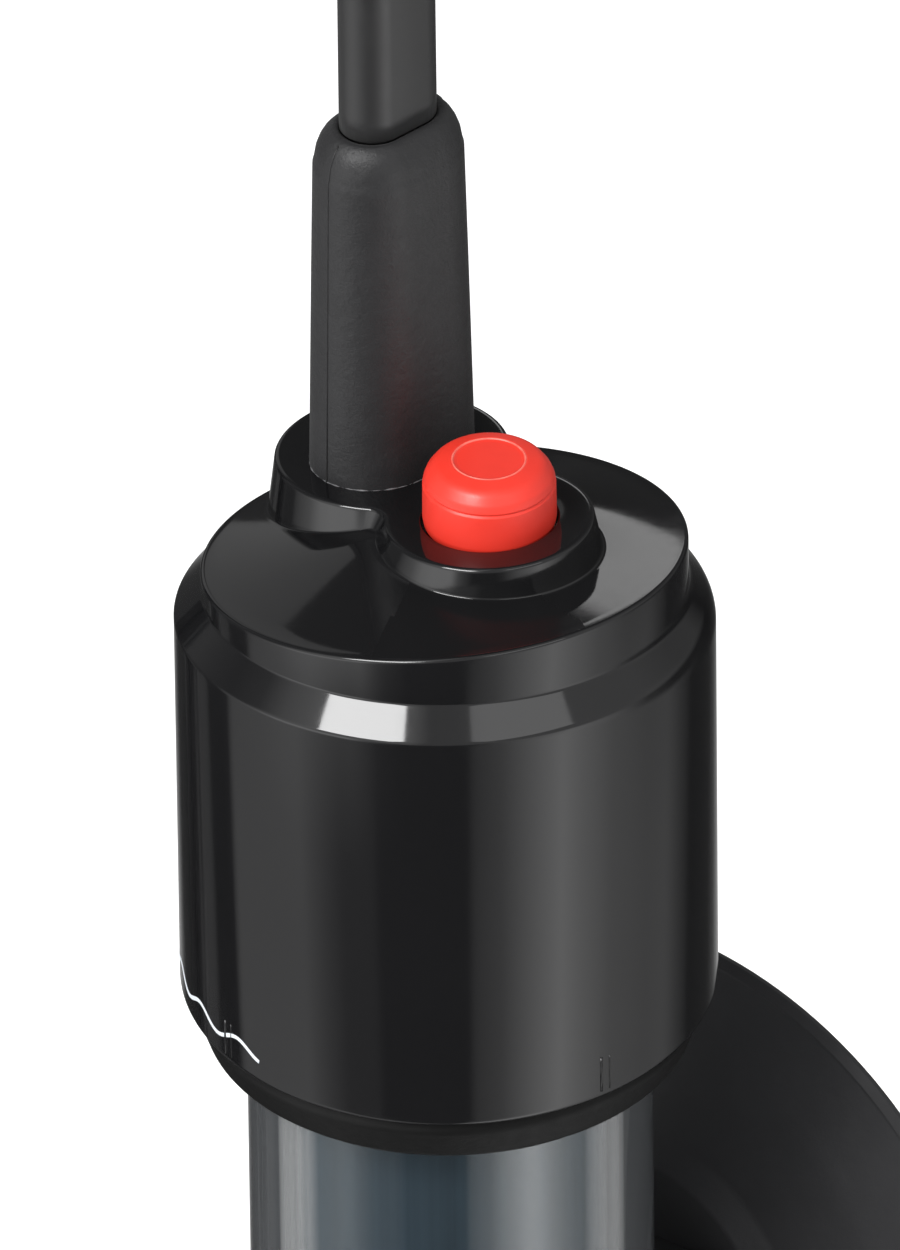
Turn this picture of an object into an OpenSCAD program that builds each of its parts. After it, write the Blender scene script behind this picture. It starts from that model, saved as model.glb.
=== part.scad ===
// Submersible aquarium heater: a sealed head with a push button, a glass tube on two
// suction clips, and a flat cord put away in a hank.
// Origin: centre of the upper suction cup's face. +Y points into the tank wall, +Z is up.

/* [Head] */
// Outer radius of the head's wall
head_r = 18; // [17:0.5:19]
// Radius of the neck above the shoulder
neck_r = 16.2; // [15.8:0.1:16.4]
// Height of the middle of the sloping top above the upper cup's centre
head_z = 72; // [68:1:90]
// Depth from the middle of the sloping top to the lower edge of the wall
wall_drop = 34.1; // [33:0.1:38]
// Slope of the top face in degrees
top_slope = 9.5; // [6:0.5:10]
// Slope of the shoulder in degrees
shoulder_slope = 4.5; // [0:0.5:5]
// Turn of the head about the tube, from +X, in degrees
head_turn = -10.7; // [-30:0.1:30]
// Height of the platform above the middle of the sloping top
platform_h = 3.7; // [3.4:0.1:3.8]

/* [Button] */
// Radius of the cap
button_r = 4.5; // [4.2:0.1:4.7]
// Height of the cap above the platform
button_h = 4.6; // [4.2:0.1:5.2]
// Travel of the button
button_travel = 1.8; // [1:0.1:1.9]

/* [Cord] */
// Width of the flat cord
cord_w = 7; // [6.6:0.1:7]
// Thickness of the flat cord
cord_t = 4.4; // [4:0.1:4.4]
// Height of the strain relief above its seat
boot_h = 27.3; // [20:0.1:30]
// Length of the hank's straight runs
run_l = 105; // [105:1:120]

/* [Tube] */
// Outer radius of the glass tube
glass_r = 13.6; // [13.4:0.1:13.6]
// Thickness of the glass
glass_t = 1.3; // [1:0.1:1.4]
// Depth of the rounded lower end below the upper cup's centre
glass_low = 154; // [150:1:170]
// Turns of the heating wire
wire_turns = 14; // [8:1:18]

/* [Suction clips] */
// Distance from the tube's axis to the tank wall
wall_gap = 27; // [27:0.5:30]
// Radius of a suction cup
cup_r = 25.4; // [22:0.2:27]
// Distance between the two clips
clip_pitch = 100; // [90:1:110]

/* [Hidden] */
$fn = 64;

eps = 0.01;                      // overlap that keeps a cut clean
run_fit = 0.08;                  // radial clearance of a sliding fit
snug = 0.05;                     // clearance of nested pieces that don't move

// Head, in its own frame: origin at the middle of the sloping top
slope_turn = -27;                // world direction in which the top rises
shoulder_turn = -50;             // world direction in which the shoulder rises
shoulder_z = -2.5;               // upper edge of the shoulder
shoulder_h = 2.1;
wall_r = 16;                     // inner radius of the wall
cavity_z = -10;                  // top of the wide part of the cavity
roof_z = -6;                     // underside of the roof
boot_at = [-7.9, 2.65];
button_at = [3.4, 1];
boot_pad_r = 7.85;
button_pad_r = 7;
pad_blend_r = 1.6;
pad_slope = 4.75;                // the platform rises the same way as the top
seat_z = 2.2;                    // level seat of the strain relief, cut into the platform
cone_at = [-1.3, -0.7, -0.18];          // the top swells to a low cone under the platform
cone_r = 13.8;
cone_h = 3.45;

// Button. Its cap is set by the platform, and its works are set by the roof.
button_z = 3.95;                 // height of the platform at the button
works_z = 3;                     // level from which the works are measured
cap_lift = button_z - works_z;
well_r = button_r + 0.3;
well_depth = 2.4;
cap_inner_r = 3.65;
cap_roof = 1.6;
stem_r = 2;
stem_low = -11.1;
bush_r = 3.4;
lip_r = 2.6;

// Strain relief
boot_w = 11.8;
boot_t = 8.8;
boot_top_w = 10.8;
boot_top_t = 7.8;
spigot_r = 3.9;
boot_top_z = head_z + seat_z + boot_h;

// Tube and gasket, in world heights
glass_top = 56;
glass_in = glass_r - glass_t;
gasket_r = 16.3;
gasket_low = 33.9;
wall_low = head_z - wall_drop;
sleeve_top = 43;
sleeve_low = -20;
pivot_z = 40;                    // hinge line of the bimetal strip
contact_z = -1;
former_top = -23;
former_low = -138;
former_r = 8;
wire_r = 0.9;
lead_x = 4;
lead_y = 6;

// Clips and cups: depths are measured from the tank wall
clip_r = glass_r + run_fit;
clip_t = 2.2;
clip_h = 10;
clip_gap = 28;                   // half of the clip's open angle
plate_w = 17;
plate_front = 6.5;
plate_back = 8.55;
stud_r = 4.15;
bulb_r = 5.8;
bulb_front = 8.8;
bulb_back = 10.8;

// ---- frames ----
module at_axis(z = 0) translate([0, -wall_gap, z]) children();
module in_head() at_axis(head_z) rotate(head_turn) children();
module at_button(z = 0) in_head() translate([button_at[0], button_at[1], works_z + z]) children();
module at_boot(z = 0) in_head() translate([boot_at[0], boot_at[1], seat_z + z]) rotate(90) children();
module tilted(turn, slope) rotate(turn) rotate([0, -slope, 0]) rotate(-turn) children();

// ---- shapes that repeat ----
module stadium(w, t) {
    square([w - t, t], center = true);
    for (s = [-1, 1]) translate([s * (w - t) / 2, 0]) circle(d = t);
}
module rounded_box(w, t, r) {
    square([w - 2 * r, t], center = true);
    square([w, t - 2 * r], center = true);
    for (x = [-1, 1], y = [-1, 1]) translate([x * (w / 2 - r), y * (t / 2 - r)]) circle(r = r);
}
module ring(r_out, r_in, z, h) translate([0, 0, z]) difference() {
    cylinder(r = r_out, h = h);
    translate([0, 0, -eps]) cylinder(r = r_in, h = h + 2 * eps);
}
module o_ring(r_mid, r_wire, z) translate([0, 0, z]) rotate_extrude()
    translate([r_mid, 0]) circle(r = r_wire, $fn = 24);

function unit(v) = v / norm(v);
function pick(p, i) = p[max(0, min(len(p) - 1, i))];
function heading(p, i) = unit(pick(p, i + 1) - pick(p, i - 1));
function square_to(t, w) = unit(w - (w * t) * t);

// A closed tube along points p. Its section is width wide along the directions wide[i].
module swept(p, wide, sides, width, thick) {
    n = len(p);
    points = [for (i = [0:n - 1])
        let (t = heading(p, i), a = square_to(t, wide[i]), b = cross(t, a))
        for (k = [0:sides - 1]) let (angle = 360 * (k + 0.5) / sides)
            p[i] + a * (width / 2 * cos(angle) / cos(180 / sides)) + b * (thick / 2 * sin(angle))];
    walls = [for (i = [0:n - 2], k = [0:sides - 1])
        let (a = i * sides + k, b = i * sides + (k + 1) % sides)
        for (face = [[a, b + sides, b], [a, a + sides, b + sides]]) face];
    last = (n - 1) * sides;
    ends = [for (k = [1:sides - 2], face = [[0, k, k + 1], [last, last + k + 1, last + k]]) face];
    polyhedron(points = points, faces = concat(walls, ends), convexity = 10);
}

// A round wire wound about the Z axis.
module coil(r_mid, r_wire, turns, z, h, steps) {
    p = [for (i = [0:turns * steps]) let (a = 360 * i / steps)
        [r_mid * cos(a), r_mid * sin(a), z + h * i / (turns * steps)]];
    swept(p, [for (q = p) [0, 0, 1]], 6, 2 * r_wire, 2 * r_wire);
}

// ---- route of the cord ----
// The lead, from the top of the strain relief: distance along X, then height.
lead_plan = [[0, 0], [0, 13], [0, 26], [-2, 37], [-9, 47], [-19, 54], [-30, 56], [-41, 54],
    [-51, 47], [-58, 37], [-60, 26], [-60, 13], [-60, 0], [-60, -14]];
boot_top = [boot_at[0] * cos(head_turn) - boot_at[1] * sin(head_turn),
    boot_at[0] * sin(head_turn) + boot_at[1] * cos(head_turn) - wall_gap, boot_top_z];
lead_path = [for (q = lead_plan) boot_top + [q[0], 0, q[1]]];
lead_wide = [for (i = [0:len(lead_plan) - 1])
    let (a = 90 + head_turn * (1 - i / (len(lead_plan) - 1))) [cos(a), sin(a), 0]];

// The hank hangs in the XZ plane. A loop is two runs and two folds, and the cord lies flat
// in it: each layer's turns are hank_step apart and the layers are layer_step apart.
run_steps = 6;                   // even, so that one step ends at the tie
fold_steps = 7;
loop_steps = 2 * (run_steps + fold_steps);
layer_loops = 2;
turns = 2 * layer_loops;
fold_r = 21;
hank_step = 6;
climb_steps = 3.6;               // steps of the run in which the cord changes layer
layer_step = 7.8;
waist_in = 17;                   // how far the tie draws a run in
waist_step = 0.15;               // how much wider a step is there
out_r = fold_r + hank_step * layer_loops;
lead_end = lead_path[len(lead_path) - 1];
hank_mid = lead_end - [out_r, 0, run_l / 2];
function turn_r(q) = fold_r + hank_step * abs(layer_loops - q);
function ease(s) = s * s * (3 - 2 * s);
function layer(q) = ease(max(0, min(1, (q - layer_loops) * loop_steps / climb_steps)));
function waist_x(r) = r - waist_in + waist_step * (r - fold_r);
function run_x(f, r) = r + (waist_x(r) - r) * (0.5 - 0.5 * cos(360 * f));
function loop_xz(i, r) =
    i < run_steps ? let (f = i / run_steps) [run_x(f, r), run_l * (0.5 - f)] :
    i < run_steps + fold_steps ? let (a = -180 * (i - run_steps) / fold_steps)
        [r * cos(a), -run_l / 2 + r * sin(a)] :
    i < 2 * run_steps + fold_steps ? let (f = (i - run_steps - fold_steps) / run_steps)
        [-run_x(f, r), run_l * (f - 0.5)] :
    let (a = 180 - 180 * (i - 2 * run_steps - fold_steps) / fold_steps)
        [r * cos(a), run_l / 2 + r * sin(a)];
function hank_point(i) = let (q = i / loop_steps, s = loop_xz(i % loop_steps, turn_r(q)))
    hank_mid + [s[0], -layer_step * layer(q), s[1]];
hank_path = [for (i = [0:turns * loop_steps + run_steps]) hank_point(i)];
hank_end = hank_path[len(hank_path) - 1];
tail = 20;                       // straight end of the cord above the plug
hank_all = concat(hank_path, [hank_end - [0, 0, tail / 2], hank_end - [0, 0, tail]]);
plug_top = hank_end - [0, 0, tail];

function total(v, i = 0) = i < len(v) ? v[i] + total(v, i + 1) : 0;
function path_length(p) = total([for (i = [1:len(p) - 1]) norm(p[i] - p[i - 1])]);
// Gap between the cord's flat section at point p and the one along the segment a to b.
function flat_gap(p, a, b) = let (d = [b[0] - a[0], b[2] - a[2]], v = [p[0] - a[0], p[2] - a[2]],
    t = max(0, min(1, (v * d) / (d * d))), off = v - t * d, dy = p[1] - a[1] - t * (b[1] - a[1]))
    max(norm(off) - cord_t, abs(dy) - cord_w);
least_gap = min([for (i = [0:len(hank_all) - 1], j = [0:len(hank_all) - 2])
    if (abs(i - j) > 6) flat_gap(hank_all[i], hank_all[j], hank_all[j + 1])]);
echo(cord_length = path_length(lead_path) + path_length(hank_all), hank_least_gap = least_gap);

// ---- head ----
module platform_outline() {
    between = button_at - boot_at;
    d = norm(between);
    ra = boot_pad_r + pad_blend_r;
    rb = button_pad_r + pad_blend_r;
    x = (ra * ra - rb * rb + d * d) / (2 * d);
    y = sqrt(ra * ra - x * x);
    translate(boot_at) rotate(atan2(between[1], between[0])) {
        circle(r = boot_pad_r);
        translate([d, 0]) circle(r = button_pad_r);
        difference() {
            polygon([[0, 0], [x, y], [d, 0], [x, -y]]);
            for (s = [-1, 1]) translate([x, s * y]) circle(r = pad_blend_r + 0.03);
        }
    }
}
module head_outside() {
    cone = (head_r - neck_r) / shoulder_h;
    wide_r = head_r + 4;
    inner_r = neck_r - 2;
    tilted(slope_turn - head_turn, top_slope) intersection() {
        tilted(slope_turn - head_turn, -top_slope) union() {
            intersection() {
                translate([0, 0, -wall_drop]) cylinder(r = head_r, h = wall_drop + 4);
                tilted(shoulder_turn - head_turn, shoulder_slope) rotate_extrude() polygon([
                    [0, -60], [wide_r, -60], [wide_r, shoulder_z - (wide_r - neck_r) / cone],
                    [inner_r, shoulder_z + (neck_r - inner_r) / cone],
                    [0, shoulder_z + (neck_r - inner_r) / cone]]);
            }
            translate([0, 0, -12]) cylinder(r = neck_r, h = 16);
        }
        translate([-40, -40, -80]) cube([80, 80, 80]);
    }
    intersection() {
        translate(cone_at) tilted(slope_turn - head_turn, top_slope)
            translate([0, 0, -1]) cylinder(r1 = cone_r * (1 + 1 / cone_h), r2 = 0, h = cone_h + 1);
        translate([0, 0, -12]) cylinder(r = neck_r, h = 20);
    }
    intersection() {
        translate([0, 0, roof_z]) linear_extrude(platform_h - roof_z + 4) platform_outline();
        translate([0, 0, -12]) cylinder(r = neck_r, h = 20);
        translate([0, 0, platform_h]) tilted(slope_turn - head_turn, pad_slope)
            translate([-40, -40, -80]) cube([80, 80, 80]);
    }
}
module head_shell() color([0.05, 0.05, 0.055]) in_head() difference() {
    head_outside();
    translate([0, 0, -wall_drop - eps]) cylinder(r = wall_r, h = wall_drop + cavity_z);
    translate([0, 0, cavity_z - 1]) cylinder(r = 13.2, h = roof_z - cavity_z + 1);
    translate([button_at[0], button_at[1], works_z]) {
        translate([0, 0, -well_depth]) cylinder(r = well_r, h = well_depth + cap_lift + 2);
        translate([0, 0, -12]) cylinder(r = lip_r, h = 12);
        translate([0, 0, -12]) cylinder(r = bush_r, h = 12 - well_depth - 0.7);
    }
    translate([boot_at[0], boot_at[1], 0]) {
        translate([0, 0, roof_z - 1]) cylinder(r = spigot_r, h = 12);
        translate([0, 0, seat_z]) rotate(90) linear_extrude(4)
            stadium(boot_w + 2 * snug, boot_t + 2 * snug, $fn = 32);
    }
}

// ---- button ----
module button_cap() color([0.9, 0.2, 0.16]) at_button(cap_lift - 0.3) difference() {
    rotate_extrude() polygon([[0, 0], [button_r - 0.1, 0], [button_r, 0.1], [button_r, 3.15],
        [button_r - 0.1, 3.25], [button_r - 0.1, 3.4], [button_r - 0.25, 3.85],
        [button_r - 0.65, 4.35], [button_r - 1.2, 4.68], [button_r - 1.95, button_h + 0.24],
        [button_r - 2.1, button_h + 0.3], [0, button_h + 0.3]]);
    translate([0, 0, -eps]) cylinder(r = cap_inner_r, h = cap_roof + 0.3);
    translate([0, 0, -eps]) cylinder(r = stem_r, h = cap_roof + 1.9);
}
module button_stem() color([0.85, 0.85, 0.8]) at_button(stem_low)
    cylinder(r = stem_r - eps, h = cap_lift + cap_roof + 1.5 - stem_low);
module stem_clip() color([0.6, 0.6, 0.62]) at_button(-10) ring(3.4, stem_r, 0, 0.6);
module button_spring() color([0.7, 0.7, 0.72]) at_button(-well_depth)
    coil(3.2, 0.25, 3, 0.26, cap_lift + cap_roof + well_depth - 0.52, 8);
module button_bush() color([0.8, 0.8, 0.75]) at_button(-8.8)
    ring(bush_r - snug, stem_r + run_fit, 0, 4.6);
module button_seal() color([0.1, 0.1, 0.1]) at_button(-3.65) o_ring(2.56, 0.5, 0);
module push_switch() color([0.12, 0.14, 0.2]) at_button(stem_low - button_travel - 3.9) difference() {
    translate([-6, -5, 0]) cube([12, 10, 5.4]);
    translate([0, 0, 2.4]) cylinder(r = 3.8, h = 4);
}

// ---- cord ----
module strain_relief() color([0.15, 0.15, 0.16]) {
    at_boot() hull() {
        linear_extrude(0.4) stadium(boot_w, boot_t, $fn = 32);
        translate([0, 0, boot_h - 2.6]) linear_extrude(0.1) stadium(boot_top_w, boot_top_t, $fn = 32);
        translate([0, 0, boot_h - 1.1]) linear_extrude(0.1)
            stadium(boot_top_w - 0.9, boot_top_t - 0.9, $fn = 32);
        translate([0, 0, boot_h - 0.1]) linear_extrude(0.1)
            stadium(boot_top_w - 2.6, boot_top_t - 2.6, $fn = 32);
    }
    at_boot(roof_z - seat_z - 1) cylinder(r = spigot_r - snug, h = seat_z - roof_z + 1.2);
}
module power_cord() color([0.12, 0.12, 0.13]) swept(lead_path, lead_wide, 12, cord_w, cord_t);
module cord_hank() color([0.12, 0.12, 0.13])
    swept(hank_all, [for (q = hank_all) [0, 1, 0]], 6, cord_w, cord_t);
tie_in = [2 * waist_x(out_r + hank_step / 8) + cord_t + 1.6, layer_step + cord_w + 0.8];
tie_t = 1.2;
module cord_tie() color([0.2, 0.2, 0.21]) translate(hank_mid - [0, layer_step / 2, 3])
    linear_extrude(6) difference() {
        rounded_box(tie_in[0] + 2 * tie_t, tie_in[1] + 2 * tie_t, 3);
        rounded_box(tie_in[0], tie_in[1], 1.8);
    }
plug_l = 36;
plug_w = 25;
plug_t = 13;
pin_pitch = 19;
pin_r = 2;
pin_l = 19;
module plug_body() color([0.12, 0.12, 0.13]) translate(plug_top) rotate([180, 0, 90]) hull() {
    linear_extrude(0.4) stadium(9.6, 7, $fn = 32);
    translate([0, 0, 12]) linear_extrude(0.4) stadium(15, 9, $fn = 32);
    translate([0, 0, 22]) linear_extrude(plug_l - 23) stadium(plug_w, plug_t, $fn = 32);
    translate([0, 0, plug_l - 0.4]) linear_extrude(0.4) stadium(plug_w - 1.6, plug_t - 1.6, $fn = 32);
}
module plug_pins() color([0.75, 0.75, 0.76]) translate(plug_top - [0, 0, plug_l + pin_l])
    for (s = [-1, 1]) translate([0, s * pin_pitch / 2, 0]) {
        translate([0, 0, 0.8]) cylinder(r = pin_r, h = pin_l - 0.8);
        cylinder(r1 = pin_r - 0.7, r2 = pin_r, h = 0.8);
    }

// ---- tube ----
module tube_gasket() color([0.09, 0.09, 0.09]) at_axis() rotate_extrude() polygon([
    [glass_r + snug, gasket_low + 0.5], [gasket_r - 0.7, gasket_low], [gasket_r, gasket_low + 0.7],
    [gasket_r + 0.9, wall_low - snug], [wall_r - snug, wall_low - snug], [wall_r - snug, 46],
    [glass_r + snug, 46]]);
module head_plug() color([0.3, 0.3, 0.3]) at_axis() difference() {
    union() {
        translate([0, 0, 46]) cylinder(r = glass_in - snug, h = glass_top - 46 + 0.1);
        translate([0, 0, glass_top + snug]) cylinder(r = wall_r - 0.3, h = 2);
    }
    rotate_extrude() translate([10.85, 49.9]) square([3, 1.7]);
    for (s = [-1, 1]) translate([s * lead_x, lead_y, 40]) cylinder(r = 1.1, h = 20);
}
module plug_o_ring() color([0.1, 0.1, 0.1]) at_axis() o_ring(11.56, 0.68, 50.75);
module closed_tube(r, top) translate([0, 0, glass_r - glass_low]) {
    cylinder(r = r, h = top + glass_low - glass_r);
    sphere(r = r);
}
module glass_tube() color([0.45, 0.5, 0.55, 0.4]) at_axis() difference() {
    closed_tube(glass_r, glass_top);
    closed_tube(glass_in, glass_top + 1);
}
module inner_sleeve() color([0.3, 0.34, 0.38]) at_axis()
    ring(11.9, 11.4, sleeve_low, sleeve_top - sleeve_low);
module thermostat_frame() color([0.75, 0.7, 0.55]) at_axis() difference() {
    union() {
        translate([-9, 2, -16]) cube([18, 1.6, 58]);
        translate([-4, -2.6, pivot_z - 4]) cube([8, 4.7, 4]);
    }
    translate([0, 0, contact_z]) rotate([-90, 0, 0]) cylinder(r = 1.3, h = 6);
}
module bimetal_strip() color([0.72, 0.6, 0.4]) at_axis() translate([-3, -3.2, contact_z - 3])
    cube([6, 0.5, pivot_z - contact_z + 3]);
module contact_disc(y) at_axis(contact_z) translate([0, y, 0]) rotate([-90, 0, 0])
    cylinder(r = 1.5, h = 1.2);
module moving_contact() color([0.8, 0.8, 0.78]) contact_disc(-2.7);
module fixed_contact() color([0.8, 0.75, 0.5]) {
    contact_disc(-1.45);
    at_axis(contact_z) translate([-3, -0.3, -3]) cube([6, 2.2, 6]);
}
module calibration_screw() color([0.7, 0.7, 0.72]) at_axis(contact_z) rotate([-90, 0, 0])
    difference() {
        union() {
            translate([0, 0, 1.95]) cylinder(r = 1.2, h = 3.1);
            translate([0, 0, 5]) cylinder(r = 2.2, h = 1.6);
        }
        translate([-3, -0.3, 6]) cube([6, 0.6, 1]);
    }
module indicator_lamp() color([0.95, 0.5, 0.25]) at_axis() translate([6, -4, 26]) {
    cylinder(r = 1.9, h = 9);
    sphere(r = 1.9);
}
module heat_shield() color([0.8, 0.78, 0.7]) at_axis() difference() {
    translate([0, 0, -22]) cylinder(r = glass_in - 0.3, h = 1.2);
    for (s = [-1, 1]) translate([s * lead_x, lead_y, -30]) cylinder(r = 1.1, h = 20);
}
module ceramic_former() color([0.9, 0.88, 0.82]) at_axis() ring(former_r, 1.5, former_low,
    former_top - former_low);
module heating_wire() color([0.55, 0.5, 0.45]) at_axis()
    coil(former_r + wire_r + 0.15, wire_r, wire_turns, former_low + 7, former_top - former_low - 14, 24);
module lead_wires() color([0.6, 0.2, 0.15]) at_axis() for (s = [-1, 1])
    translate([s * lead_x, lead_y, former_top + 0.1]) cylinder(r = 0.9, h = glass_top + 2 - former_top);
module end_spacer() color([0.85, 0.85, 0.8]) at_axis() intersection() {
    translate([0, 0, glass_r - glass_low]) sphere(r = glass_in - 0.2);
    translate([-20, -20, -glass_low]) cube([40, 40, glass_low + former_low - 0.2 - 3]);
}

// ---- suction clips ----
module clip_outline() {
    difference() {
        union() {
            circle(r = clip_r + clip_t);
            translate([-plate_w / 2, 8]) square([plate_w, wall_gap - plate_front - 8]);
        }
        circle(r = clip_r);
        polygon([[0, -2], [30 * tan(clip_gap), -30], [-30 * tan(clip_gap), -30]]);
        translate([-bulb_r - 0.3, wall_gap - bulb_back - 0.25])
            square([2 * bulb_r + 0.6, bulb_back + 0.25 - plate_back]);
    }
    lip_at = clip_r + 1.75;
    for (s = [-1, 1]) translate([s * lip_at * sin(clip_gap + 1), -lip_at * cos(clip_gap + 1)])
        circle(r = 1.5);
}
module clip(z) at_axis(z) difference() {
    translate([0, 0, -clip_h / 2]) linear_extrude(clip_h) clip_outline();
    translate([0, wall_gap - plate_back - 1, 0]) rotate([-90, 0, 0])
        cylinder(r = stud_r + snug, h = 10);
}
// A suction cup, drawn as radius against depth from the wall.
module cup(z) translate([0, 0, z]) rotate([90, 0, 0]) rotate_extrude() polygon([
    [cup_r - 1.9, 0], [cup_r - 0.1, 0], [cup_r, 0.1], [cup_r, 0.4], [cup_r - 0.5, 0.9], [17, 3.7],
    [11.4, 4.8], [10.2, 5.8], [7, 6.1], [5, 6.2], [stud_r, 6.35], [stud_r, bulb_front], [bulb_r, bulb_front],
    [bulb_r, bulb_back - 0.8], [bulb_r - 0.8, bulb_back], [0, bulb_back], [0, 3.8], [7, 3.4],
    [14, 2.3], [cup_r - 4, 0.7]]);
module upper_clip() color([0.1, 0.1, 0.1]) clip(0);
module upper_cup() color([0.16, 0.16, 0.17]) cup(0);
module lower_clip() color([0.1, 0.1, 0.1]) clip(-clip_pitch);
module lower_cup() color([0.16, 0.16, 0.17]) cup(-clip_pitch);

head_shell();
button_cap();
button_stem();
stem_clip();
button_spring();
button_bush();
button_seal();
push_switch();
strain_relief();
power_cord();
cord_hank();
cord_tie();
plug_body();
plug_pins();
tube_gasket();
head_plug();
plug_o_ring();
glass_tube();
inner_sleeve();
thermostat_frame();
bimetal_strip();
moving_contact();
fixed_contact();
calibration_screw();
indicator_lamp();
heat_shield();
ceramic_former();
heating_wire();
lead_wires();
end_spacer();
upper_clip();
upper_cup();
lower_clip();
lower_cup();
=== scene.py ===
import logging
import math
from dataclasses import dataclass, field, replace
from enum import Enum

import bpy
import bmesh
from mathutils import Matrix, Quaternion, Vector


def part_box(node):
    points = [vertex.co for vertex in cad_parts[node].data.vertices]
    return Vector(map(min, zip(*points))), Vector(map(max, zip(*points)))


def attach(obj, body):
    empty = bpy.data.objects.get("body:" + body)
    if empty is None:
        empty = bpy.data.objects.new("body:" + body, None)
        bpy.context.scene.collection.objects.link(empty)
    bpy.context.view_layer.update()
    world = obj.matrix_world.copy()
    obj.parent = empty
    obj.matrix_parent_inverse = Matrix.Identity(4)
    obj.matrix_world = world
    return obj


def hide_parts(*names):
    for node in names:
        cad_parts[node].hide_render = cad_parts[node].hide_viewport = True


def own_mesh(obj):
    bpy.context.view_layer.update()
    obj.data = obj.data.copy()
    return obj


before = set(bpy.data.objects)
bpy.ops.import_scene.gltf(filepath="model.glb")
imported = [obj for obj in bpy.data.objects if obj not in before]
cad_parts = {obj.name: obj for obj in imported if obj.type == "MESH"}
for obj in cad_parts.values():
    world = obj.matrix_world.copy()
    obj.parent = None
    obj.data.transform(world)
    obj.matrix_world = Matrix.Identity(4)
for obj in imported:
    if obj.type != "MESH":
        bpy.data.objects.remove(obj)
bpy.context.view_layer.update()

logging.basicConfig(level=logging.INFO, format="%(name)s: %(message)s")
LOG = logging.getLogger("heater")

MM = 0.001
TURN = 2 * math.pi
AXIS = Vector((0.0, -0.027))          # the tube's axis in the XY plane
LOWER_CUP_Z = -100 * MM
Point2 = tuple[float, float]
Colour = tuple[float, float, float]
Piece = bpy.types.Object
Socket = bpy.types.NodeSocket


# ---- Mesh tools ----
class Closing(Enum):
    """How the first or last ring of a lofted skin is finished."""

    OPEN = "open"
    FLAT = "flat"


def placed(name: str, data: bpy.types.ID) -> Piece:
    """Makes an object from its data and links it into the scene.

    Args:
        name: The object's name.
        data: Its mesh, camera or light.

    Returns:
        The new object.
    """
    made = bpy.data.objects.new(name, data)
    bpy.context.scene.collection.objects.link(made)
    return made


def polar(r: float, a: float, z: float, centre: Vector = AXIS) -> Vector:
    """The point at a radius, a direction and a height about an upright axis."""
    return Vector((centre.x + r * math.cos(a), centre.y + r * math.sin(a), z))


def mesh_object(name: str, points: list[Vector], faces: list[tuple[int, ...]],
                smooth: bool = True) -> Piece:
    """Makes a mesh object from points and faces, with its faces turned outwards.

    Args:
        name: The piece's name.
        points: Its vertices, in metres in the row frame.
        faces: Its faces, as tuples of vertex numbers.
        smooth: Whether its faces are shaded smooth.

    Returns:
        The new object, linked into the scene.
    """
    mesh = bpy.data.meshes.new(name)
    mesh.from_pydata([tuple(p) for p in points], [], faces)
    work = bmesh.new()
    work.from_mesh(mesh)
    bmesh.ops.remove_doubles(work, verts=work.verts, dist=1e-7)
    bmesh.ops.recalc_face_normals(work, faces=work.faces)
    for face in work.faces:
        face.smooth = smooth
    work.to_mesh(mesh)
    work.free()
    return placed(name, mesh)


def skin(name: str, rings: list[list[Vector]], start: Closing = Closing.FLAT,
         end: Closing = Closing.FLAT, looped: bool = False) -> Piece:
    """Lofts a skin through closed rings that all have the same number of points.

    Args:
        name: The piece's name.
        rings: The rings in order. A ring may shrink to one place, as at a pole.
        start: How the first ring is finished.
        end: How the last ring is finished.
        looped: Whether the last ring joins the first.

    Returns:
        The new object.
    """
    count = len(rings[0])
    points = [p for ring in rings for p in ring]
    faces: list[tuple[int, ...]] = []
    spans = len(rings) if looped else len(rings) - 1
    for i in range(spans):
        low, high = i * count, (i + 1) % len(rings) * count
        for k in range(count):
            n = (k + 1) % count
            faces.append((low + k, low + n, high + n, high + k))
    if not looped and start is Closing.FLAT:
        faces.append(tuple(range(count)))
    if not looped and end is Closing.FLAT:
        faces.append(tuple(range((len(rings) - 1) * count, len(rings) * count)))
    return mesh_object(name, points, faces)


def rounded(*corners: tuple[float, ...]) -> list[Point2]:
    """Rounds the inner corners of an open profile.

    Args:
        corners: For each corner its place, and for a rounded one its radius and steps.

    Returns:
        The points of the rounded profile. A rounded corner gives steps + 1 points.
    """
    points: list[Point2] = []
    for i, (x, y, *rounding) in enumerate(corners):
        here = Vector((x, y))
        if not rounding or i in (0, len(corners) - 1):
            points.append((here.x, here.y))
            continue
        radius, steps = rounding
        back = Vector(corners[i - 1][:2]) - here
        ahead = Vector(corners[i + 1][:2]) - here
        half = back.angle(ahead) / 2
        reach = min(radius / math.tan(half), 0.49 * back.length, 0.49 * ahead.length)
        radius = reach * math.tan(half)
        first, last = here + back.normalized() * reach, here + ahead.normalized() * reach
        centre = here + (back.normalized() + ahead.normalized()).normalized() * radius / math.sin(half)
        a, b = first - centre, last - centre
        sweep = a.angle_signed(b)
        for j in range(steps + 1):
            turned = Vector(a)
            turned.rotate(Matrix.Rotation(-sweep * j / steps, 2))
            points.append(tuple(centre + turned))
    return points


def drawn(*corners: tuple[float, ...]) -> list[Point2]:
    """Rounds a profile that is given in millimetres, as rounded does one in metres."""
    return rounded(*((x * MM, y * MM, rest[0] * MM, rest[1]) if rest else (x * MM, y * MM)
                     for x, y, *rest in corners))


def quarter(first: int, steps: int) -> list[Point2]:
    """A quarter turn in steps from the first one: 1 - sine and 1 - cosine of each angle."""
    angles = [math.pi / 2 * j / steps for j in range(first, steps + 1)]
    return [(1 - math.sin(a), 1 - math.cos(a)) for a in angles]


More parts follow.
